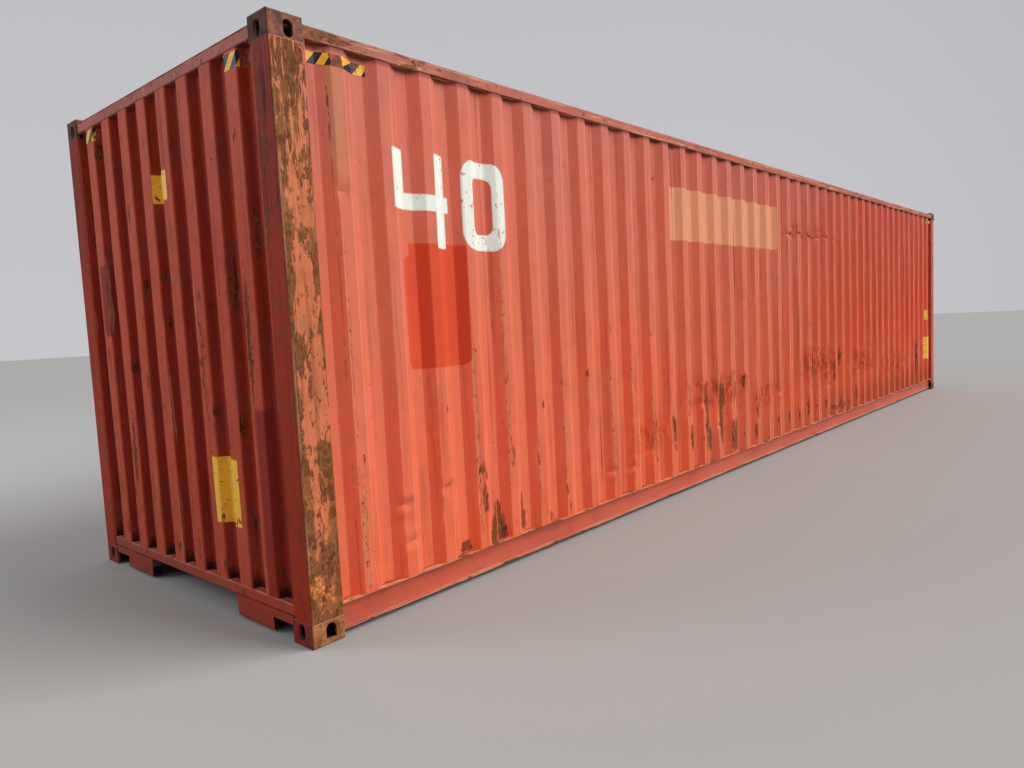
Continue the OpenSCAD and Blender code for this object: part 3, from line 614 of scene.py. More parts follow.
side_folds = [
    # x, z and depth of the sharp folds where a ridge was crushed
    (-5.748, 2.146, 0.011), (-5.478, 0.560, 0.018), (-5.445, 0.350, 0.017), (-5.180, 0.590, 0.013),
    (-3.560, 0.372, 0.020), (-3.290, 0.350, 0.018), (-3.010, 0.440, 0.010), (-2.150, 0.700, 0.014),
    (-1.840, 0.480, 0.016), (-1.300, 1.560, 0.008), (-1.020, 1.575, 0.009), (-0.470, 0.620, 0.012),
    (0.400, 0.790, 0.014), (0.950, 0.560, 0.012), (2.060, 0.640, 0.014), (2.340, 0.600, 0.012)]
for ridge in range(42):
    for _ in range(4):
        side_dents.append((first_ridge + ridge * ridge_pitch + draw.uniform(-0.04, 0.04),
            draw.uniform(0.25, 1.2), draw.uniform(0.02, 0.05), draw.uniform(0.02, 0.10),
            draw.uniform(0.001, 0.006)))

side_rust = [
    (-4.768, 0.225, 0.085, 0.050, 1.00), (-4.765, 0.290, 0.058, 0.050, 1.00),
    (-4.757, 0.355, 0.032, 0.070, 0.78), (-4.540, 0.250, 0.040, 0.060, 0.95),
    (-4.548, 0.350, 0.026, 0.090, 0.70),
    (-5.035, 0.215, 0.050, 0.035, 0.70), (-4.260, 0.215, 0.040, 0.040, 0.60),
    (-3.833, 1.100, 0.020, 0.035, 0.48), (-4.903, 0.640, 0.026, 0.060, 0.50),
    (-4.885, 0.450, 0.030, 0.100, 0.52), (-4.625, 0.700, 0.020, 0.120, 0.47),
    (-4.375, 0.620, 0.020, 0.070, 0.42), (-2.064, 0.560, 0.060, 0.30, 0.82),
    (-1.774, 0.740, 0.090, 0.12, 0.88), (-1.790, 0.500, 0.060, 0.24, 0.76),
    (-1.550, 0.350, 0.075, 0.16, 0.78), (-1.346, 0.813, 0.028, 0.06, 0.64),
    (-2.640, 0.520, 0.050, 0.14, 0.64), (-2.360, 0.450, 0.040, 0.12, 0.66),
    (-1.980, 0.360, 0.030, 0.10, 0.60), (-1.040, 0.500, 0.025, 0.11, 0.52),
    (-2.815, 2.520, 0.030, 0.04, 0.52), (-2.815, 2.326, 0.030, 0.03, 0.47),
    (-0.645, 1.870, 0.022, 0.09, 0.52), (0.516, 0.760, 0.022, 0.24, 0.70),
    (0.450, 1.060, 0.020, 0.13, 0.62), (0.727, 0.720, 0.022, 0.21, 0.70),
    (0.987, 1.020, 0.022, 0.18, 0.70), (1.160, 0.700, 0.020, 0.16, 0.62),
    (1.400, 0.860, 0.024, 0.12, 0.64), (1.861, 0.814, 0.040, 0.05, 0.62),
    (2.153, 0.610, 0.024, 0.16, 0.74), (1.250, 0.270, 0.380, 0.035, 0.48),
    (5.026, 0.640, 0.024, 0.28, 0.68),
    (-0.120, 2.250, 0.100, 0.018, 0.66), (0.350, 2.230, 0.600, 0.013, 0.42)]
for ridge in range(16, 32):
    side_rust.append((first_ridge + ridge * ridge_pitch - 0.060, draw.uniform(0.24, 0.40),
        draw.uniform(0.010, 0.018), draw.uniform(0.03, 0.12), draw.uniform(0.34, 0.60)))
side_bare = [
    (-5.752, 0.480, 0.024, 0.34, 0.62), (-5.762, 1.350, 0.014, 0.70, 0.42),
    (-4.925, 0.900, 0.017, 0.85, 0.60), (-4.655, 1.400, 0.017, 0.95, 0.57),
    (-4.377, 0.500, 0.014, 0.30, 0.50), (-3.545, 0.800, 0.018, 0.50, 0.60),
    (-3.268, 0.900, 0.014, 0.50, 0.50), (-2.990, 0.700, 0.016, 0.45, 0.55),
    (-4.104, 1.000, 0.011, 0.35, 0.46)]
side_scuffs = [
    (0.660, 0.820, 0.52, 0.17, 1.0), (-1.850, 0.800, 0.60, 0.13, 0.8), (2.300, 0.760, 0.42, 0.18, 0.8),
    (-0.850, 0.640, 0.40, 0.12, 0.6), (3.700, 0.640, 0.60, 0.16, 0.7), (0.430, 2.300, 0.60, 0.06, 0.6),
    (-3.000, 0.560, 0.30, 0.12, 0.5)]
for ridge in range(6, 42):
    side_bare.append((first_ridge + ridge * ridge_pitch - 0.034 + draw.uniform(-0.006, 0.006),
        draw.uniform(0.4, 1.1), 0.012, draw.uniform(0.15, 0.55), draw.uniform(0.38, 0.56)))
for _ in range(70):
    side_rust.append((first_ridge + draw.integers(0, 42) * ridge_pitch + draw.uniform(-0.04, 0.04),
        draw.uniform(0.2, 1.3) ** 1.3, draw.uniform(0.008, 0.02), draw.uniform(0.01, 0.05),
        draw.uniform(0.40, 0.50)))


def flange_sag(x):
    """How far the free edge of the bottom rail's top flange hangs, in metres."""
    slow = 0.5 + 0.5 * np.sin(x * 4.1 + 1.3 * np.sin(x * 1.7))
    quick = np.sin(x * 22.6 + 0.8) * (0.5 + 0.5 * np.sin(x * 2.3))
    return 0.003 + 0.006 * slow + 0.003 * quick


def away_from_edges(z, low, foot, head):
    """0 at a wall's welded foot and head, and 1 where the sheet is free to wave."""
    return np.clip((z - low) / foot, 0, 1) * np.clip((wall_high - z) / head, 0, 1)


def dent_side(co):
    """Dents and waves of the long side wall, ridges more than hollows."""
    x, y, z = co.T
    crest = np.clip((side_face + ridge_deep - y) / ridge_deep, 0, 1)
    inward = np.zeros_like(x)
    for *place, depth in side_dents:
        inward += depth * spot(x, z, *place)
    for cx, cz, depth in side_folds:
        lean = z - cz - 0.25 * (x - cx)
        across = depth * np.exp(-((x - cx) / 0.046) ** 4)
        inward += across * np.exp(-(lean / 0.017) ** 2)
        inward -= 0.28 * across * np.exp(-((np.abs(lean) - 0.047) / 0.020) ** 2)
    crease = np.exp(-((x - 0.45) / 0.72) ** 8) * crest ** 2
    inward += crease * 0.018 * np.exp(-((z - 2.238 - 0.012 * np.sin(x * 9)) / 0.011) ** 2)
    inward -= crease * 0.006 * np.exp(-((z - 2.275 - 0.012 * np.sin(x * 9)) / 0.018) ** 2)
    free = away_from_edges(z, wall_low, 0.25, 0.3)
    ridge = np.round((x - first_ridge) / ridge_pitch)
    wave = np.sin(z * 2.6 + ridge * 1.9) * 0.0016 + np.sin(z * 6.1 + ridge * 4.3) * 0.0007
    sideways = np.sin(z * 3.3 + ridge * 2.7) * 0.0018 * free
    y = y + np.minimum(inward, 0.022) * (0.3 + 0.7 * crest) * (0.2 + 0.8 * free) + wave * free
    foot = np.clip(1 - (z - wall_low) / 0.06, 0, 1) * crest
    z = z - foot * flange_sag(x) * 0.8
    return np.column_stack([x + sideways, np.maximum(y, -1.2180), z])


# A rounded rectangle on two axes, for repainted places and painted figures.
patch_group, (across, up, left, right, low, high, corner, soft) = shared_group("patch",
    "X Y Left Right Low High Corner Soft", "Mask")


def beyond(place, start, end):
    """How far a place lies past the straight part of a side, on one axis."""
    middle, half = (start + end) * 0.5, (end - start) * 0.5
    return most(abs(place - middle) - (half - corner), 0.0)


far_out = output("CombineXYZ", {0: beyond(across, left, right), 1: beyond(up, low, high)})
far_out = output("VectorMath", {0: far_out}, "Value", operation="LENGTH")
put_out(patch_group, Mask=spread(far_out - corner, soft, soft * -1.0))


def patch(across, up, left, right, low, high, corner=0.01, soft=0.004):
    return use_group(patch_group, X=across, Y=up, Left=left, Right=right, Low=low, High=high,
        Corner=corner, Soft=soft)["Mask"]


def marks(place, name):
    """How strongly a sheet is marked at each point with rust, bare steel or scuffs."""
    return output("Attribute", {}, "Fac", tree=place.tree, attribute_name=name)


def stained(place, much, colour, tone, full=0.50, reach=0.30):
    """Soft dark smears, drawn out down the sheet, round the places that rust."""
    smear = streaky(place, (42, 42, 5), 7, 0.66, 0.4) + much * reach
    smear = ease(smear, 0.54, 0.70) * ease(much, 0.08, full)
    return mix(smear * 0.75, colour, tone)


rust_brown = (0.125, 0.030, 0.012)


def side_paint(name, marked):
    """Coral paint, paler and pinker to the top; marked, with repainted patches and numerals."""
    made, place = new_finish(name)
    x, y, z = axes(place)
    across = (calc("FRACT", (x - first_ridge) / ridge_pitch + 100.5) - 0.5) * ridge_pitch
    aside = abs(across)
    # painted shade: the slopes that face the front get a darker, redder copy of the paint, here and in
    # the repainted patches
    shaded = band(across, -0.106, -0.034, 0.003)
    paint = mix(shaded, (0.775, 0.146, 0.062), (0.79, 0.097, 0.038))
    pale = mix(shaded, (0.61, 0.178, 0.130), (0.62, 0.145, 0.102))
    old = use_group(paint_group, Place=place, Paint=paint, Pale=pale,
        Fade=z / 2.9 + ease(x, -1.5, 2.5) * -0.45, Streaks=0.34, Grime=0.14)
    colour = old["Colour"]
    # partly painted shade and partly paint that has faded less: the hollows darker from the middle of
    # the wall to its rear end
    hollow = ease(aside, 0.098, 0.106) * ease(x, -4.5, -2.0)
    far_end = ease(x, -1.0, 3.0) * ease(z, 0.5, 1.5)
    # lift tints the painted shade on those slopes, lighter and less red towards the rear
    lift = mix(ease(x, -3.0, 0.5), (1.04, 1.08, 1.06), (1.13, 1.42, 1.46))
    far_foot = ease(x, -3.5, -1.5) * ease(z, 0.60, 0.28)
    dull_foot = mix(ease(x, 0.5, 3.5), (0.86, 1.04, 1.26), (0.70, 0.67, 0.65))
    for where, tint in ((hollow, (0.84, 0.76, 0.74)), (ease(x, -2.5, 1.5), (0.84, 0.78, 0.80)),
            (far_end, (0.92, 0.72, 0.76)), (shaded, lift), (far_foot, dull_foot)):
        colour = mix(where, colour, tint, "MULTIPLY")

    # bends: pale where they stand proud, rubbed and sun bleached and with a painted highlight; darker
    # along the bends into the hollows
    patchy = ease(streaky(place, (5, 5, 0.8), 6, 0.6), 0.34, 0.62)
    proud = calc("GREATER_THAN", aside, 0.0325 + ease(x, -3.5, 0.5) * -0.0045)
    proud = proud * ease(aside, 0.0403, 0.0367)
    proud = proud * (0.18 + patchy * 0.30 + patchy * ease(x, -4.5, -0.5) * 0.45)
    colour = mix(proud, colour, (0.84, 0.32, 0.21))
    sunk = band(aside, 0.1010, 0.1055, 0.0018) * (0.15 + patchy * 0.35)
    colour = mix(sunk, colour, (0.42, 0.070, 0.035))

    if marked:
        repainted = most(patch(x, z, -5.383, -4.933, 1.252, 1.850, 0.05),
            patch(x, z, -5.333, -4.933, 1.700, 1.918))
        colour = mix(repainted, colour, mix(shaded, (0.655, 0.080, 0.034), (0.59, 0.053, 0.021)))
        painted_out = patch(x, z, -2.612, -0.500, 2.063, 2.483)
        colour = mix(painted_out * 0.85, colour, (0.77, 0.33, 0.19))
        four = [patch(x, z, -5.433, -5.343, 2.090, 2.396), patch(x, z, -5.433, -5.033, 2.090, 2.175),
            patch(x, z, -5.150, -5.060, 1.896, 2.396)]
        nought = calc("SUBTRACT", patch(x, z, -4.950, -4.600, 1.896, 2.396, 0.10),
            patch(x, z, -4.860, -4.690, 1.986, 2.306, 0.05), clamp=True)
        unworn = ease(noise(place, 26, 7, 0.7), 0.66, 0.58)
        colour = mix(reduce(most, [*four, nought]) * unworn, colour, (0.80, 0.85, 0.77))
        soft_marks = streaky(place, (48, 48, 2.0), 8, 0.66)
        first_top = patch(x, z, -5.797, -5.718, 1.6, 2.80, 0.03, 0.006)
        first_top = first_top * ease(z + soft_marks * 0.5, 2.35, 2.62)
        colour = mix(first_top * (0.35 + soft_marks * 0.6), colour, (0.52, 0.205, 0.105))
    # painted shadow under the top rail: the top of the wall darkened
    colour = mix(ease(z, 2.770, 2.800) * 0.7, colour, (0.13, 0.035, 0.022))

    much = marks(place, "scuff")
    rubs = ease(streaky(place, (14, 14, 9), 8, 0.66, 0.6), 0.44, 0.56)
    colour = mix(rubs * much * 0.85, colour, (0.38, 0.030, 0.012))
    dashes = ease(streaky(place, (46, 46, 5), 7, 0.66), 0.54, 0.62)
    colour = mix(dashes * much * 0.55, colour, (0.12, 0.030, 0.014))
    rust_there = marks(place, "rust")
    colour = stained(place, rust_there, colour, rust_brown, reach=0.20)
    much = marks(place, "bare")
    scrape = streaky(place, (62, 62, 9), 9, 0.66, 0.3) + much * 0.72
    scraped = ease(scrape, 0.82, 0.90)
    tan = mix(streaky(place, (150, 150, 30), 5, 0.7), (0.36, 0.115, 0.046), (0.72, 0.275, 0.135))
    colour = mix(scraped * 0.75, colour, tan)
    outline = band(scrape, 0.815, 0.865, 0.012) * 0.34
    colour = mix(outline, colour, (0.15, 0.045, 0.018))
    chips = ease(streaky(place, (70, 70, 26), 7, 0.68) + much * 0.16, 0.665, 0.69)
    colour = mix(chips * ease(much, 0.22, 0.36), colour, (0.105, 0.038, 0.017))
    bend = ease(noise(stretched(place, (1, 1, 0.6)), 13, 6, 0.65), 0.47, 0.53)
    bend = band(x, -5.800, -5.791, 0.0015) * bend
    bend = bend * (0.30 + ease(z, 2.30, 2.50) * 0.6)
    colour = mix(bend, colour, (0.15, 0.045, 0.020))
    red = use_group(rust_group, Place=stretched(place, (1, 1, 0.55)),
        Amount=rust_there + (0.08 if marked else 0.13), Size=24.0)
    broken = 0.30 + ease(streaky(place, (75, 75, 24), 9, 0.72), 0.42, 0.55) * 0.62
    colour = mix(red["Mask"] * broken, colour, mix(0.35, red["Colour"], rust_brown))
    set_shader(made, colour, rougher(old, red["Mask"]), red["Height"] - scraped * 0.3, 0.0012,
        0.05)
    return made


coral = side_paint("sun_faded_coral", marked=True)
far_coral = side_paint("far_side_coral", marked=False)
dress(far_coral, "far_side_wall")
for k in range(11):
    sheet = ridged_sheet(f"side_sheet_{k + 1:02d}", side_profile, 4 if k < 10 else 2, wall_tall,
        170 if k < 3 else 110)
    co = points_of(sheet)
    share = co[:, 2] / wall_tall
    co[:, 2] = wall_tall * (0.4 * share + 0.6 * share ** 2)
    left, right = co[:, 0] < 1e-5, co[:, 0] > co[:, 0].max() - 1e-5
    co += (wall_left + k * 4 * ridge_pitch, side_face, wall_low)
    if k == 0:
        co[left, 0] = wall_start
    if k == 10:
        co[right, 0] = wall_end
    set_points(sheet, co)
    if k in (5, 6):
        enter_edit()
        for z in np.linspace(2.195, 2.285, 12):
            cut((0, 0, z), (0, 0, 1))
        leave_edit()
    set_points(sheet, dent_side(points_of(sheet)))
    thicken(sheet, 0.002)
    smooth_bends(sheet)
    x, y, z = points_of(sheet).T
    for kind, places in (("rust", side_rust), ("bare", side_bare), ("scuff", side_scuffs)):
        mark(sheet, kind, blobs(x, z, places))
    sheet.data.materials.append(coral)
    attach(sheet, "root")
    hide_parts("near_side_wall")


# Weld beads on the long side: an upright one in the hollow where two sheets meet, and one along
# the wall's foot on the rail. Each is a low rippled run of weld, painted over with the wall.

bead_wide, bead_proud = 0.0045, 0.0016

bpy.ops.object.select_all(action="DESELECT")
bpy.ops.mesh.primitive_cylinder_add(vertices=8, radius=bead_wide, depth=wall_tall,
    location=(0, 0, (wall_high + wall_low) / 2), end_fill_type="NGON")
bead = bpy.context.object
bead.name = "sheet_seam_01"
bpy.ops.object.transform_apply(location=True, rotation=False, scale=False)
enter_edit()
bpy.ops.mesh.select_all(action="SELECT")
bpy.ops.transform.resize(value=(1, bead_proud / bead_wide, 1), center_override=(0, 0, 0))
pick(bead, lambda e: length_along(e, 2) > 1, "EDGE")
bpy.ops.mesh.subdivide(number_cuts=220)
leave_edit()
run_of_weld = points_of(bead)
z = run_of_weld[:, 2]
run_of_weld[:, 1] += 0.0004 * np.sin(z * 900 + 3 * np.sin(z * 37))


def own_copy(obj, name):
    """A copy of a piece with a mesh of its own."""
    made = obj.copy()
    made.data = obj.data.copy()
    made.name = name
    bpy.context.scene.collection.objects.link(made)
    return made


def lay_bead(name, co, finish, flip=False):
    """Lays the modelled run of weld along the given points."""
    made = bead if name == bead.name else own_copy(bead, name)
    set_points(made, co)
    if flip:
        made.data.flip_normals()
    made.data.materials.clear()
    made.data.materials.append(finish)
    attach(made, "root")


for k in range(10):
    co = run_of_weld + (wall_left + 4 * ridge_pitch * (k + 1), side_face + ridge_deep, 0)
    lay_bead(f"sheet_seam_{k + 1:02d}", dent_side(co), coral)
    lay_bead(f"far_sheet_seam_{k + 1:02d}", co * (1, -1, 1), far_coral, flip=True)
at_post = run_of_weld + (wall_start - 0.0010, -1.2168, 0)
lay_bead("post_edge_bead", at_post, coral)
lay_bead("far_post_edge_bead", at_post * (1, -1, 1), coral, flip=True)

foot = ridged_sheet("wall_foot_bead", side_profile, 42, 0.006, 2)
co = points_of(foot) + (wall_left, side_face, wall_low)
co[co[:, 2] >= wall_low + 0.001, 1] += 0.0012
set_points(foot, dent_side(co) + (0, 0.0004, 0))
thicken(foot, 0.0025)
smooth_bends(foot)
foot.data.materials.append(painted_steel("foot_weld", (0.50, 0.090, 0.050), (0.62, 0.20, 0.12),
    streaks=0.1, grime=0.4, rust=0.30, rust_size=14.0, rubbed=0.5, lengthwise=True))
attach(foot, "root")


# Bottom side rails: folded channels that open outwards, welded between the castings, with the
# wall standing on the top flange. Years of handling have bent the flange's free edge into waves
# and scraped it, and its lower lip, down to tan steel.

rail_x, rail_web, rail_top, rail_foot, rail_steel = 5.918, -1.166, 0.180, 0.030, 0.0045


def flange_rubbed(place, x, y, z):
    top = ease(z, 0.158, 0.166) * ease(abs(y), 1.186, 1.204)
    return 0.10 + top * 0.80 + ease(z, 0.037, 0.033) * 0.75


def flange_bare(place, x, y, z):
    return 0.10 + ease(z, 0.162, 0.170) * 0.28 + ease(z, 0.037, 0.032) * 0.25


bottom_rail_paint = painted_steel("bottom_rail_paint", (0.53, 0.084, 0.044), (0.64, 0.15, 0.10),
    fade=0.28, rust=0.12, rust_size=13.0, bare=flange_bare, rubbed=flange_rubbed,
    lengthwise=True)

rail = flat_sheet("bottom_rail_near", facing_side, (2 * rail_x, 1, rail_top - rail_foot),
    (0, rail_web, (rail_top + rail_foot) / 2))
for z, reach in ((rail_top, 0.048), (rail_foot, 0.030)):
    pick(rail, lambda e: all(abs(v.co.z - z) < 1e-5 and abs(v.co.y - rail_web) < 1e-5
        for v in e.verts), "EDGE")
    bpy.ops.mesh.extrude_region_move(TRANSFORM_OT_translate={"value": (0, -reach, 0)})
pick(rail, lambda e: all(abs(v.co.y - rail_web) < 1e-5 for v in e.verts)
    and length_along(e, 2) < 1e-5, "EDGE")
bpy.ops.mesh.bevel(offset=0.008, offset_type="OFFSET", segments=3, affect="EDGES")
for y in (-1.184, -1.199):
    cut((0, y, 0), (0, 1, 0))
for z in (0.08, 0.13):
    cut((0, 0, z), (0, 0, 1))
pick(rail, lambda e: length_along(e, 0) > rail_x, "EDGE")
bpy.ops.mesh.subdivide(number_cuts=400)
face_outwards()
leave_edit()
thicken(rail, rail_steel)


def bend_flange(co, share):
    """Waves in the flange's free edge and its lower lip."""
    x, y, z = co.T
    out = np.clip((-1.172 - y) / 0.042, 0, 1.1) * (z > 0.12)
    low = np.clip((-1.172 - y) / 0.024, 0, 1.1) * (z < 0.05)
    return np.column_stack([x, y, z - flange_sag(x) * out * share
        + low * 0.0016 * np.sin(x * 7.3) * np.sin(x * 2.9)])


far_rail = own_copy(rail, "bottom_rail_far")
set_points(rail, bend_flange(points_of(rail), 1.0))
set_points(far_rail, bend_flange(points_of(far_rail), 0.4) * (1, -1, 1))
far_rail.data.flip_normals()
for piece in (rail, far_rail):
    smooth_bends(piece)
    piece.data.materials.append(bottom_rail_paint)
    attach(piece, "root")
    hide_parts("bottom_side_rails")


# Front wall: sheets with nine upright grooves between wide faces, welded to the posts and to the
# front rails. It is in the shade, and its red is browner and darker than the long side's, partly as
# painted shade. The grooves are painted darker still, as painted shade with more grime, near black
# at their feet, and there are chips of rust all over.

front_face, front_low = -6.091, 0.187
front_pitch, front_half = 0.2495, 1.0697
front_profile = (front_pitch, 0.110, 0.018, 0.0456)
front_rust = [(-0.999, 0.270, 0.05, 0.05, 0.45), (-0.85, 1.45, 0.03, 0.30, 0.42),
    (0.62, 0.80, 0.03, 0.25, 0.40), (-0.37, 1.30, 0.02, 0.40, 0.38),
    (-1.04, 1.20, 0.02, 1.50, 0.36), (1.04, 1.20, 0.02, 1.50, 0.36),
    (-0.948, 1.990, 0.026, 0.17, 0.30), (-0.688, 1.740, 0.022, 0.15, 0.29),
    (0.420, 1.908, 0.014, 0.06, 0.32), (0.110, 0.275, 0.035, 0.035, 0.60),
    (-0.987, 0.450, 0.028, 0.22, 0.31), (0.947, 1.970, 0.020, 0.16, 0.29),
    (-0.129, 0.320, 0.016, 0.08, 0.44), (-0.348, 1.233, 0.012, 0.03, 0.55),
    (0.669, 0.270, 0.020, 0.05, 0.44), (-0.700, 0.520, 0.018, 0.20, 0.29)]
for _ in range(60):
    front_rust.append((draw.uniform(-1.05, 1.05), draw.uniform(0.25, 2.7),
        draw.uniform(0.008, 0.02), draw.uniform(0.01, 0.06), draw.uniform(0.38, 0.48)))
front_bare = [(0.37, 0.60, 0.02, 0.35, 0.40), (-0.125, 0.50, 0.02, 0.25, 0.40)]
for _ in range(26):
    front_bare.append((front_pitch * draw.integers(-4, 5) + draw.choice((-0.07, 0.07)),
        draw.uniform(0.4, 2.4), 0.008, draw.uniform(0.1, 0.5), draw.uniform(0.36, 0.50)))


def front_place(co):
    """Turns a sheet made along x to the front end, its face to -X."""
    x, y, z = co.T
    return np.column_stack([front_face + y, 5 * front_pitch - x, front_low + z])


def dent_front(co):
    """Knocks and waves of the front wall."""
    x, y, z = co.T
    free = away_from_edges(z, front_low, 0.2, 0.2)
    ridge = np.round(y / front_pitch - 0.5)
    wave = 0.0012 * np.sin(z * 2.9 + ridge * 2.2) + 0.0006 * np.sin(z * 7.7 + ridge)
    side = 0.0014 * np.sin(z * 2.1 + ridge * 1.3)
    knock = 0.006 * spot(y, z, 0.37, 0.62, 0.05, 0.10)
    knock += 0.007 * spot(y, z, -0.62, 1.02, 0.06, 0.12)
    return np.column_stack([x + (np.maximum(wave, -0.001) + knock) * free, y + side * free, z])


def front_paint():
    """The shaded red of the front end, with its darker repainted places."""
    made, place = new_finish("shaded_red")
    x, y, z = axes(place)
    # painted shade: the grooves take a darker, redder paint, less faded, with more grime
    groove = ease(x, -6.0885, -6.078)
    foot = groove * ease(z + noise(place, 30, 6, 0.65) * 0.10, 0.32, 0.25)
    old = use_group(paint_group, Place=place, Pale=(0.54, 0.108, 0.062), Streaks=0.5,
        Paint=mix(groove, (0.49, 0.060, 0.026), (0.34, 0.029, 0.012)),
        Fade=0.28 + groove * -0.22, Grime=0.30 + groove * 0.20)
    by_post = patch(y, z, -1.10, -0.851, 0.10, 1.116, soft=0.01)
    colour = mix(by_post, old["Colour"], (0.27, 0.026, 0.015))
    high_up = patch(y, z, 0.779, 0.899, 1.512, 1.956, soft=0.01)
    colour = mix(high_up, colour, (0.24, 0.026, 0.016))
    # near black at the feet of the grooves
    colour = mix(foot * 0.9, colour, (0.022, 0.010, 0.007))
    thin = use_group(thin_group, Place=place, Amount=marks(place, "bare"))
    colour = mix(thin["Mask"] * 0.6, colour, thin["Colour"])
    nicks = ease(streaky(place, (70, 70, 9), 6, 0.62), 0.655, 0.69)
    colour = mix(nicks * 0.7, colour, (0.12, 0.030, 0.018))
    much = marks(place, "rust")
    colour = stained(place, much, colour, (0.040, 0.008, 0.005), full=0.28)
    red = use_group(rust_group, Place=stretched(place, (1, 1, 0.6)), Amount=much + 0.12,
        Size=30.0)
    colour = mix(red["Mask"], colour, red["Colour"])
    set_shader(made, colour, rougher(old, most(red["Mask"], foot), 0.35), red["Height"], 0.0012,
        0.08)
    return made


shaded_red = front_paint()
wall = ridged_sheet("front_end_sheet", front_profile, 10, wall_high - front_low, 60)
enter_edit()
cut((5 * front_pitch + front_half, 0, 0), (1, 0, 0), drop=True)
cut((5 * front_pitch - front_half, 0, 0), (-1, 0, 0), drop=True)
leave_edit()
set_points(wall, dent_front(front_place(points_of(wall))))
thicken(wall, 0.002)
smooth_bends(wall)
x, y, z = points_of(wall).T
mark(wall, "rust", blobs(y, z, front_rust))
mark(wall, "bare", blobs(y, z, front_bare))
wall.data.materials.append(shaded_red)
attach(wall, "root")
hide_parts("front_wall")
x, y, z = run_of_weld.T
for name, edge in (("front_seam_near", -front_half + 0.002), ("front_seam_far", front_half - 0.002)):
    lay_bead(name, np.column_stack([front_face + y, edge - x, np.maximum(z, front_low)]), shaded_red)


# Stickers: thin foil stuck over the ridges. Yellow and black stripes mark the raised top corners
# of a high container, and plain yellow ones stand low down on the front and by the doors.

foil_thick, foil_gap = 0.0004, 0.0009
stripe_step, stripe_lean = 0.104, -0.9


def foil_finish(name, colour_of, tear):
    made, place = new_finish(name)
    at = axes(place)
    grime = noise(place, 34, 7, 0.7)
    colour = mix(ease(grime, 0.52, 0.75) * 0.65, colour_of(place, *at), (0.16, 0.09, 0.05))
    torn = use_group(rust_group, Place=place, Amount=tear(*at), Size=22.0)["Mask"]
    under = mix(ease(grime, 0.45, 0.55), (0.42, 0.080, 0.045), (0.16, 0.05, 0.025))
    set_shader(made, mix(torn, colour, under), 0.45 + torn * 0.3, grime, 0.0003)
    return made


def striped(place, x, y, z):
    step = calc("FRACT", (x - y + z * stripe_lean) / stripe_step)
    return mix(ease(abs(step - 0.5), 0.245, 0.255), (0.012, 0.012, 0.014), (0.86, 0.44, 0.024))


def plain_yellow(place, x, y, z):
    return mix(noise(place, 6, 4), (0.92, 0.47, 0.026), (0.95, 0.57, 0.055))


def torn_over_ridge(x, y, z):
    return 0.25 + band(x, -5.775, -5.705, 0.012) * 0.42


def torn_in_groove(x, y, z):
    return 0.28 + ease(x, -6.080, -6.066) * 0.75


def torn_little(x, y, z):
    return 0.24 + ease(z, 0.56, 0.50) * 0.10


def stick(name, finish, start, end, low, high, front=False):
    """Foil over the ridges of the long side, between two x, or of the front, between two y."""
    if front:
        profile, first, bottom = front_profile, -5 * front_pitch, front_low
        start, end = -end, -start
    else:
        profile, first, bottom = side_profile, wall_left, wall_low
    pitch = profile[0]
    skip = int((start - first) // pitch)
    count = int((end - first) // pitch) - skip + 1
    made = ridged_sheet(name, profile, count, high - low, 6)
    enter_edit()
    cut((start - first - skip * pitch, 0, 0), (-1, 0, 0), drop=True)
    cut((end - first - skip * pitch, 0, 0), (1, 0, 0), drop=True)
    leave_edit()
    co = points_of(made) + (skip * pitch, -foil_gap, low - bottom)
    if front:
        co = dent_front(front_place(co))
    else:
        co = dent_side(co + (first, side_face, bottom))
    set_points(made, co)
    thicken(made, foil_thick)
    smooth_bends(made)
    made.data.materials.append(finish)
    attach(made, "root")


stripes = foil_finish("striped_foil", striped, torn_over_ridge)
stripes_torn = foil_finish("torn_striped_foil", striped, torn_in_groove)
yellow = foil_finish("yellow_foil", plain_yellow, torn_little)
stick("stripes_side_front", stripes, -5.896, -5.551, 2.716, 2.771)
stick("stripes_side_rear", stripes, 5.530, 5.875, 2.716, 2.771)
stick("stripes_front_near", stripes_torn, -1.061, -0.787, 2.716, 2.790, front=True)
stick("stripes_front_far", stripes_torn, 0.689, 0.929, 2.716, 2.790, front=True)
stick("yellow_front", yellow, -0.632, -0.377, 0.495, 0.848, front=True)
stick("yellow_front_small", yellow, -0.121, 0.069, 2.230, 2.386, front=True)
stick("yellow_side_small", yellow, 5.490, 5.640, 1.165, 1.320)
stick("yellow_side", yellow, 5.390, 5.715, 0.536, 0.886)


# Roof: one sheet of thin plate with pressings across it, welded down on the rails. It lies in the
# sun and rain, so it is the palest part, with dust in the flats and rust spots all over.

def roof_dust(place, x, y, z):
    dusty = ease(noise(place, 2.2, 7, 0.62), 0.40, 0.62)
    return mix(ease(z, 2.876, 2.866) * dusty, (0.58, 0.105, 0.060), (0.40, 0.16, 0.105))


roof_paint = painted_steel("roof_paint", roof_dust, (0.62, 0.215, 0.160), fade=0.5, streaks=0.1,
    grime=0.45, rust=0.20, bare=0.10, shine=0.12)
dress(roof_paint, "roof_sheet")


# Doors: two leaves, each a folded frame of square tube with a pressed panel welded in, hung on
# five hinges a side. Their paint is a little fresher than the long sides' paint, and rust starts at
# the frames' edges.

def door_colour(place, x, y, z):
    return mix(ease(z, 1.1, 0.3), (0.60, 0.092, 0.048), (0.56, 0.110, 0.064))


door_paint = painted_steel("door_paint", door_colour, (0.64, 0.19, 0.13), streaks=0.35,
    grime=0.25, rust=0.15, rust_size=12.0, shine=0.16)
dress(door_paint, "near_door_panel", "far_door_panel")


# Door seals: black rubber round each leaf, with a flat lip riveted over the gap so that rain can't
# get behind it. The lip has a raised bead along its middle.

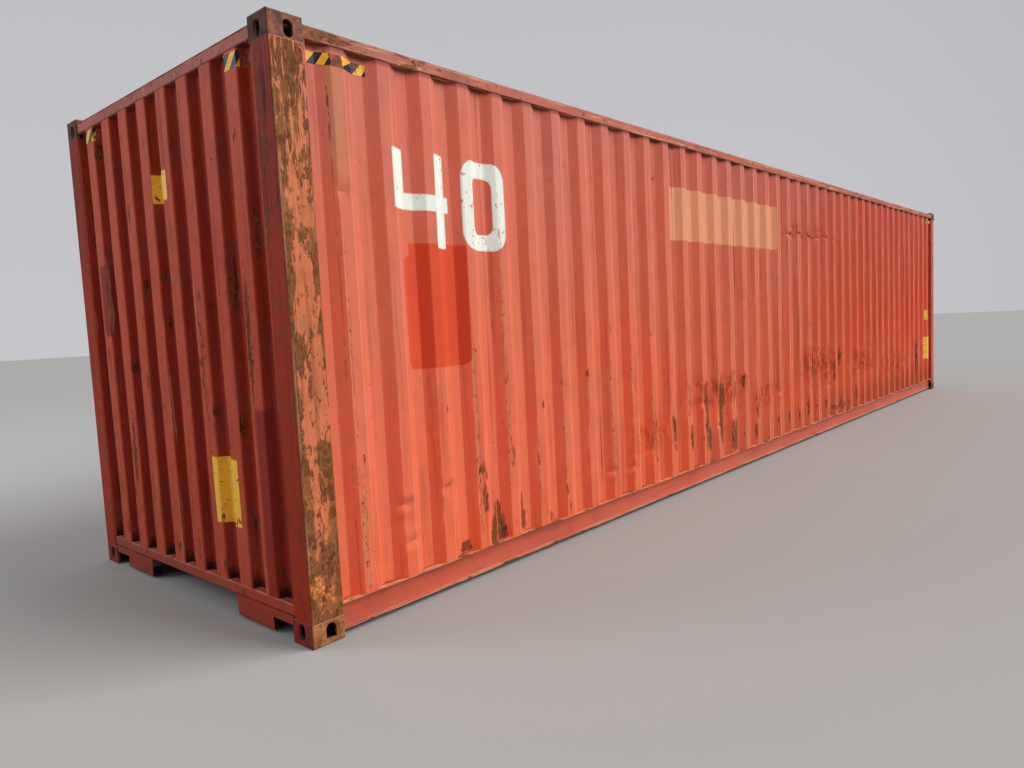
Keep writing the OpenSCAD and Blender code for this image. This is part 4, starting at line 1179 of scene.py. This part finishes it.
leaf_face, leaf_low, leaf_high, leaf_edge = 6.042, 0.173, 2.757, 1.128
lip_outer, lip_thick = 0.0082, 0.0030
lip_half = (0.012 + lip_outer) / 2
near_middle, far_edge = 0.0008, leaf_edge + lip_outer

rubber, place = new_finish("seal_rubber")
bloom = noise(place, 12, 5, 0.6)
chalk = ease(streaky(place, (30, 30, 3), 6, 0.6), 0.5, 0.7)
colour = mix(bloom, (0.012, 0.012, 0.012), (0.045, 0.043, 0.041))
set_shader(rubber, mix(chalk * 0.4, colour, (0.16, 0.11, 0.09)), 0.6, bloom, 0.0004)
dress(rubber, "near_door_seal", "far_door_seal")


def off_lip_middle(v):
    """How far a point lies from the middle line of the lip."""
    return min(abs(abs(v.co.y) - near_middle - lip_half), abs(abs(v.co.y) - far_edge + lip_half),
        abs(v.co.z - leaf_low + lip_outer - lip_half), abs(v.co.z - leaf_high - lip_outer + lip_half))


for side, name in ((-1, "near_seal_lip"), (1, "far_seal_lip")):
    lip = flat_sheet(name, facing_end,
        (1, far_edge - near_middle, leaf_high - leaf_low + 2 * lip_outer),
        (leaf_face + 0.0003, side * (near_middle + far_edge) / 2, (leaf_high + leaf_low) / 2))
    bpy.ops.mesh.inset(thickness=lip_half, depth=0)
    bpy.ops.mesh.inset(thickness=lip_half, depth=0)
    bpy.ops.mesh.delete(type="FACE")
    pick(lip, lambda f: True, "FACE")
    bpy.ops.mesh.extrude_region_move(TRANSFORM_OT_translate={"value": (lip_thick, 0, 0)})
    face_outwards()
    pick(lip, lambda e: all(v.co.x > leaf_face + lip_thick - 0.001 and off_lip_middle(v) < 0.0005
        for v in e.verts), "EDGE")
    bpy.ops.mesh.bevel(offset=0.0030, offset_type="OFFSET", segments=2, affect="EDGES")
    leave_edit()
    lip.data.materials.append(rubber)
    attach(lip, "root")


# Door hardware: locking rods of zinc coated tube in forged guides, with handles and catches. The
# guides are bolted through the door frames and panels, and the zinc is dull with rust at the joints.

zinc = painted_steel("dull_zinc", (0.30, 0.29, 0.27), (0.44, 0.43, 0.40), fade=0.45, grime=0.5,
    rust=0.26, rust_size=22.0)
dress(zinc, "near_lock_rods", "far_lock_rods", "rod_brackets", "door_handles", "handle_catches")

bolt_wide, bolt_high, washer_wide, washer_high = 0.0095, 0.0075, 0.0135, 0.002
rod_places, guide_heights, bolt_aside = (0.1745, 0.6945), (0.283, 0.960, 1.430, 2.647), 0.0375
guide_face = leaf_face + 0.006

bpy.ops.object.select_all(action="DESELECT")
bpy.ops.mesh.primitive_cylinder_add(vertices=12, radius=washer_wide, depth=washer_high,
    end_fill_type="NGON", rotation=(0, pi / 2, 0), location=(washer_high / 2, 0, 0))
model = bpy.context.object
bpy.ops.object.transform_apply(location=True, rotation=True, scale=False)
enter_edit()
bpy.ops.mesh.select_all(action="DESELECT")
bpy.ops.mesh.primitive_cylinder_add(vertices=6, radius=bolt_wide, depth=bolt_high,
    end_fill_type="NGON", rotation=(0, pi / 2, 0), location=(washer_high + bolt_high / 2, 0, 0))
pick(model, lambda f: f.normal.x > 0.9 and f.calc_center_median().x > 0.005, "FACE")
bpy.ops.mesh.inset(thickness=0.0016, depth=0.0012)
bpy.ops.mesh.inset(thickness=0.0030, depth=0)
bpy.ops.mesh.inset(thickness=0.0004, depth=0.0022)
leave_edit()
x, y, z = points_of(model).T
bpy.ops.object.select_all(action="DESELECT")
for rod_y in (-rod_places[0], -rod_places[1], *rod_places):
    for guide_z in guide_heights:
        for aside in (-bolt_aside, bolt_aside):
            bolt = own_copy(model, "guide_bolt")
            turn = draw.uniform(0, pi)
            set_points(bolt, np.column_stack([x + guide_face,
                y * cos(turn) - z * sin(turn) + rod_y + aside,
                y * sin(turn) + z * cos(turn) + guide_z]))
            bolt.select_set(True)
bpy.context.view_layer.objects.active = bolt
bpy.data.objects.remove(model)
bpy.ops.object.join()
bolts = bpy.context.object
bolts.name = "guide_bolts"
bolts.data.materials.append(zinc)
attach(bolts, "root")


# Maker's and inspection plates: three blank aluminium plates riveted in the lowest groove of one
# door, where every container carries them.

plate_face, plate_z, rivet_in = 6.0003, 0.551, 0.010
for name, wide, high, y in (("data_plate", 0.190, 0.150, -0.430),
        ("small_plate_near", 0.100, 0.070, -0.585), ("small_plate_middle", 0.090, 0.060, -0.275)):
    plate = flat_sheet(name, facing_end, (1, wide, high), (plate_face, y, plate_z))
    bpy.ops.mesh.extrude_region_move(TRANSFORM_OT_translate={"value": (0.0012, 0, 0)})
    bpy.ops.mesh.inset(thickness=0.006, depth=0)
    bpy.ops.mesh.inset(thickness=0.0012, depth=-0.0006)
    for rivet_y in (y - wide / 2 + rivet_in, y + wide / 2 - rivet_in):
        for rivet_z in (plate_z - high / 2 + rivet_in, plate_z + high / 2 - rivet_in):
            bpy.ops.mesh.select_all(action="DESELECT")
            bpy.ops.mesh.primitive_uv_sphere_add(segments=10, ring_count=6, radius=0.0032,
                location=(plate_face + 0.0010, rivet_y, rivet_z))
    face_outwards()
    leave_edit()
    plate.data.materials.append(zinc)
    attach(plate, "root")


# Floor, light and camera: a plain pale floor, soft daylight from behind the camera's right with a
# bright sky to the left, and a camera at the place from which the container is seen.

bpy.ops.object.select_all(action="DESELECT")
bpy.ops.mesh.primitive_plane_add(size=160)
ground = bpy.context.object
ground.name = "pale_floor"
pale, place = new_finish("pale_floor")
fill(pale.node_tree.nodes["Principled BSDF"].inputs, {"Base Color": (0.38, 0.38, 0.375),
    "Roughness": 0.9})
ground.data.materials.append(pale)

bpy.context.scene.view_settings.view_transform = "Standard"
world = bpy.data.worlds.new("soft_sky")
bpy.context.scene.world = world
world.use_nodes = True
toward = output("TexCoord", {}, "Generated", tree=world.node_tree)
facing = output("VectorMath", {0: toward, 1: (0.64, 0.77, 0)}, "Value", operation="DOT_PRODUCT")
low_sky = mix(ease(facing, 0.1, 0.9), (0.62, 0.64, 0.67), (1.45, 1.48, 1.53))
sky = mix(ease(axes(toward)[2], -0.05, 0.9), low_sky, (1.25, 1.26, 1.29))
fill(world.node_tree.nodes["Background"].inputs, {"Color": sky, "Strength": 0.38})


def hang(lamp, direction, at=(0, 0, 0)):
    made = bpy.data.objects.new(lamp.name, lamp)
    made.location = at
    made.rotation_euler = Vector(direction).to_track_quat("-Z", "Y").to_euler()
    bpy.context.scene.collection.objects.link(made)


sun = bpy.data.lights.new("daylight", "SUN")
sun.energy, sun.angle, sun.color = 3.15, radians(50), (1.0, 0.97, 0.93)
hang(sun, (-14, 17, -15))
glow = bpy.data.lights.new("left_sky", "AREA")
glow.shape, glow.size, glow.energy = "DISK", 8, 640
hang(glow, (9, -8, -5.6), at=(-15, 8, 7))

eye, yaw, pitch, roll = (-7.9495, -4.1793, 1.4874), 0.72599, -0.08513, -0.04977
sensor_wide, focal_pixels, frame_pixels = 36, 744.1, 1024
forward = Vector((cos(yaw) * cos(pitch), sin(yaw) * cos(pitch), sin(pitch)))
right = Vector((sin(yaw), -cos(yaw), 0))
up = right.cross(forward)
right, up = right * cos(roll) + up * sin(roll), up * cos(roll) - right * sin(roll)
lens = bpy.data.cameras.new("camera")
lens.sensor_width = sensor_wide
lens.lens = sensor_wide * focal_pixels / frame_pixels
lens.clip_end = 300
camera = bpy.data.objects.new("camera", lens)
camera.matrix_world = Matrix.Translation(eye) @ Matrix((right, up, -forward)).transposed().to_4x4()
bpy.context.scene.collection.objects.link(camera)
bpy.context.scene.camera = camera
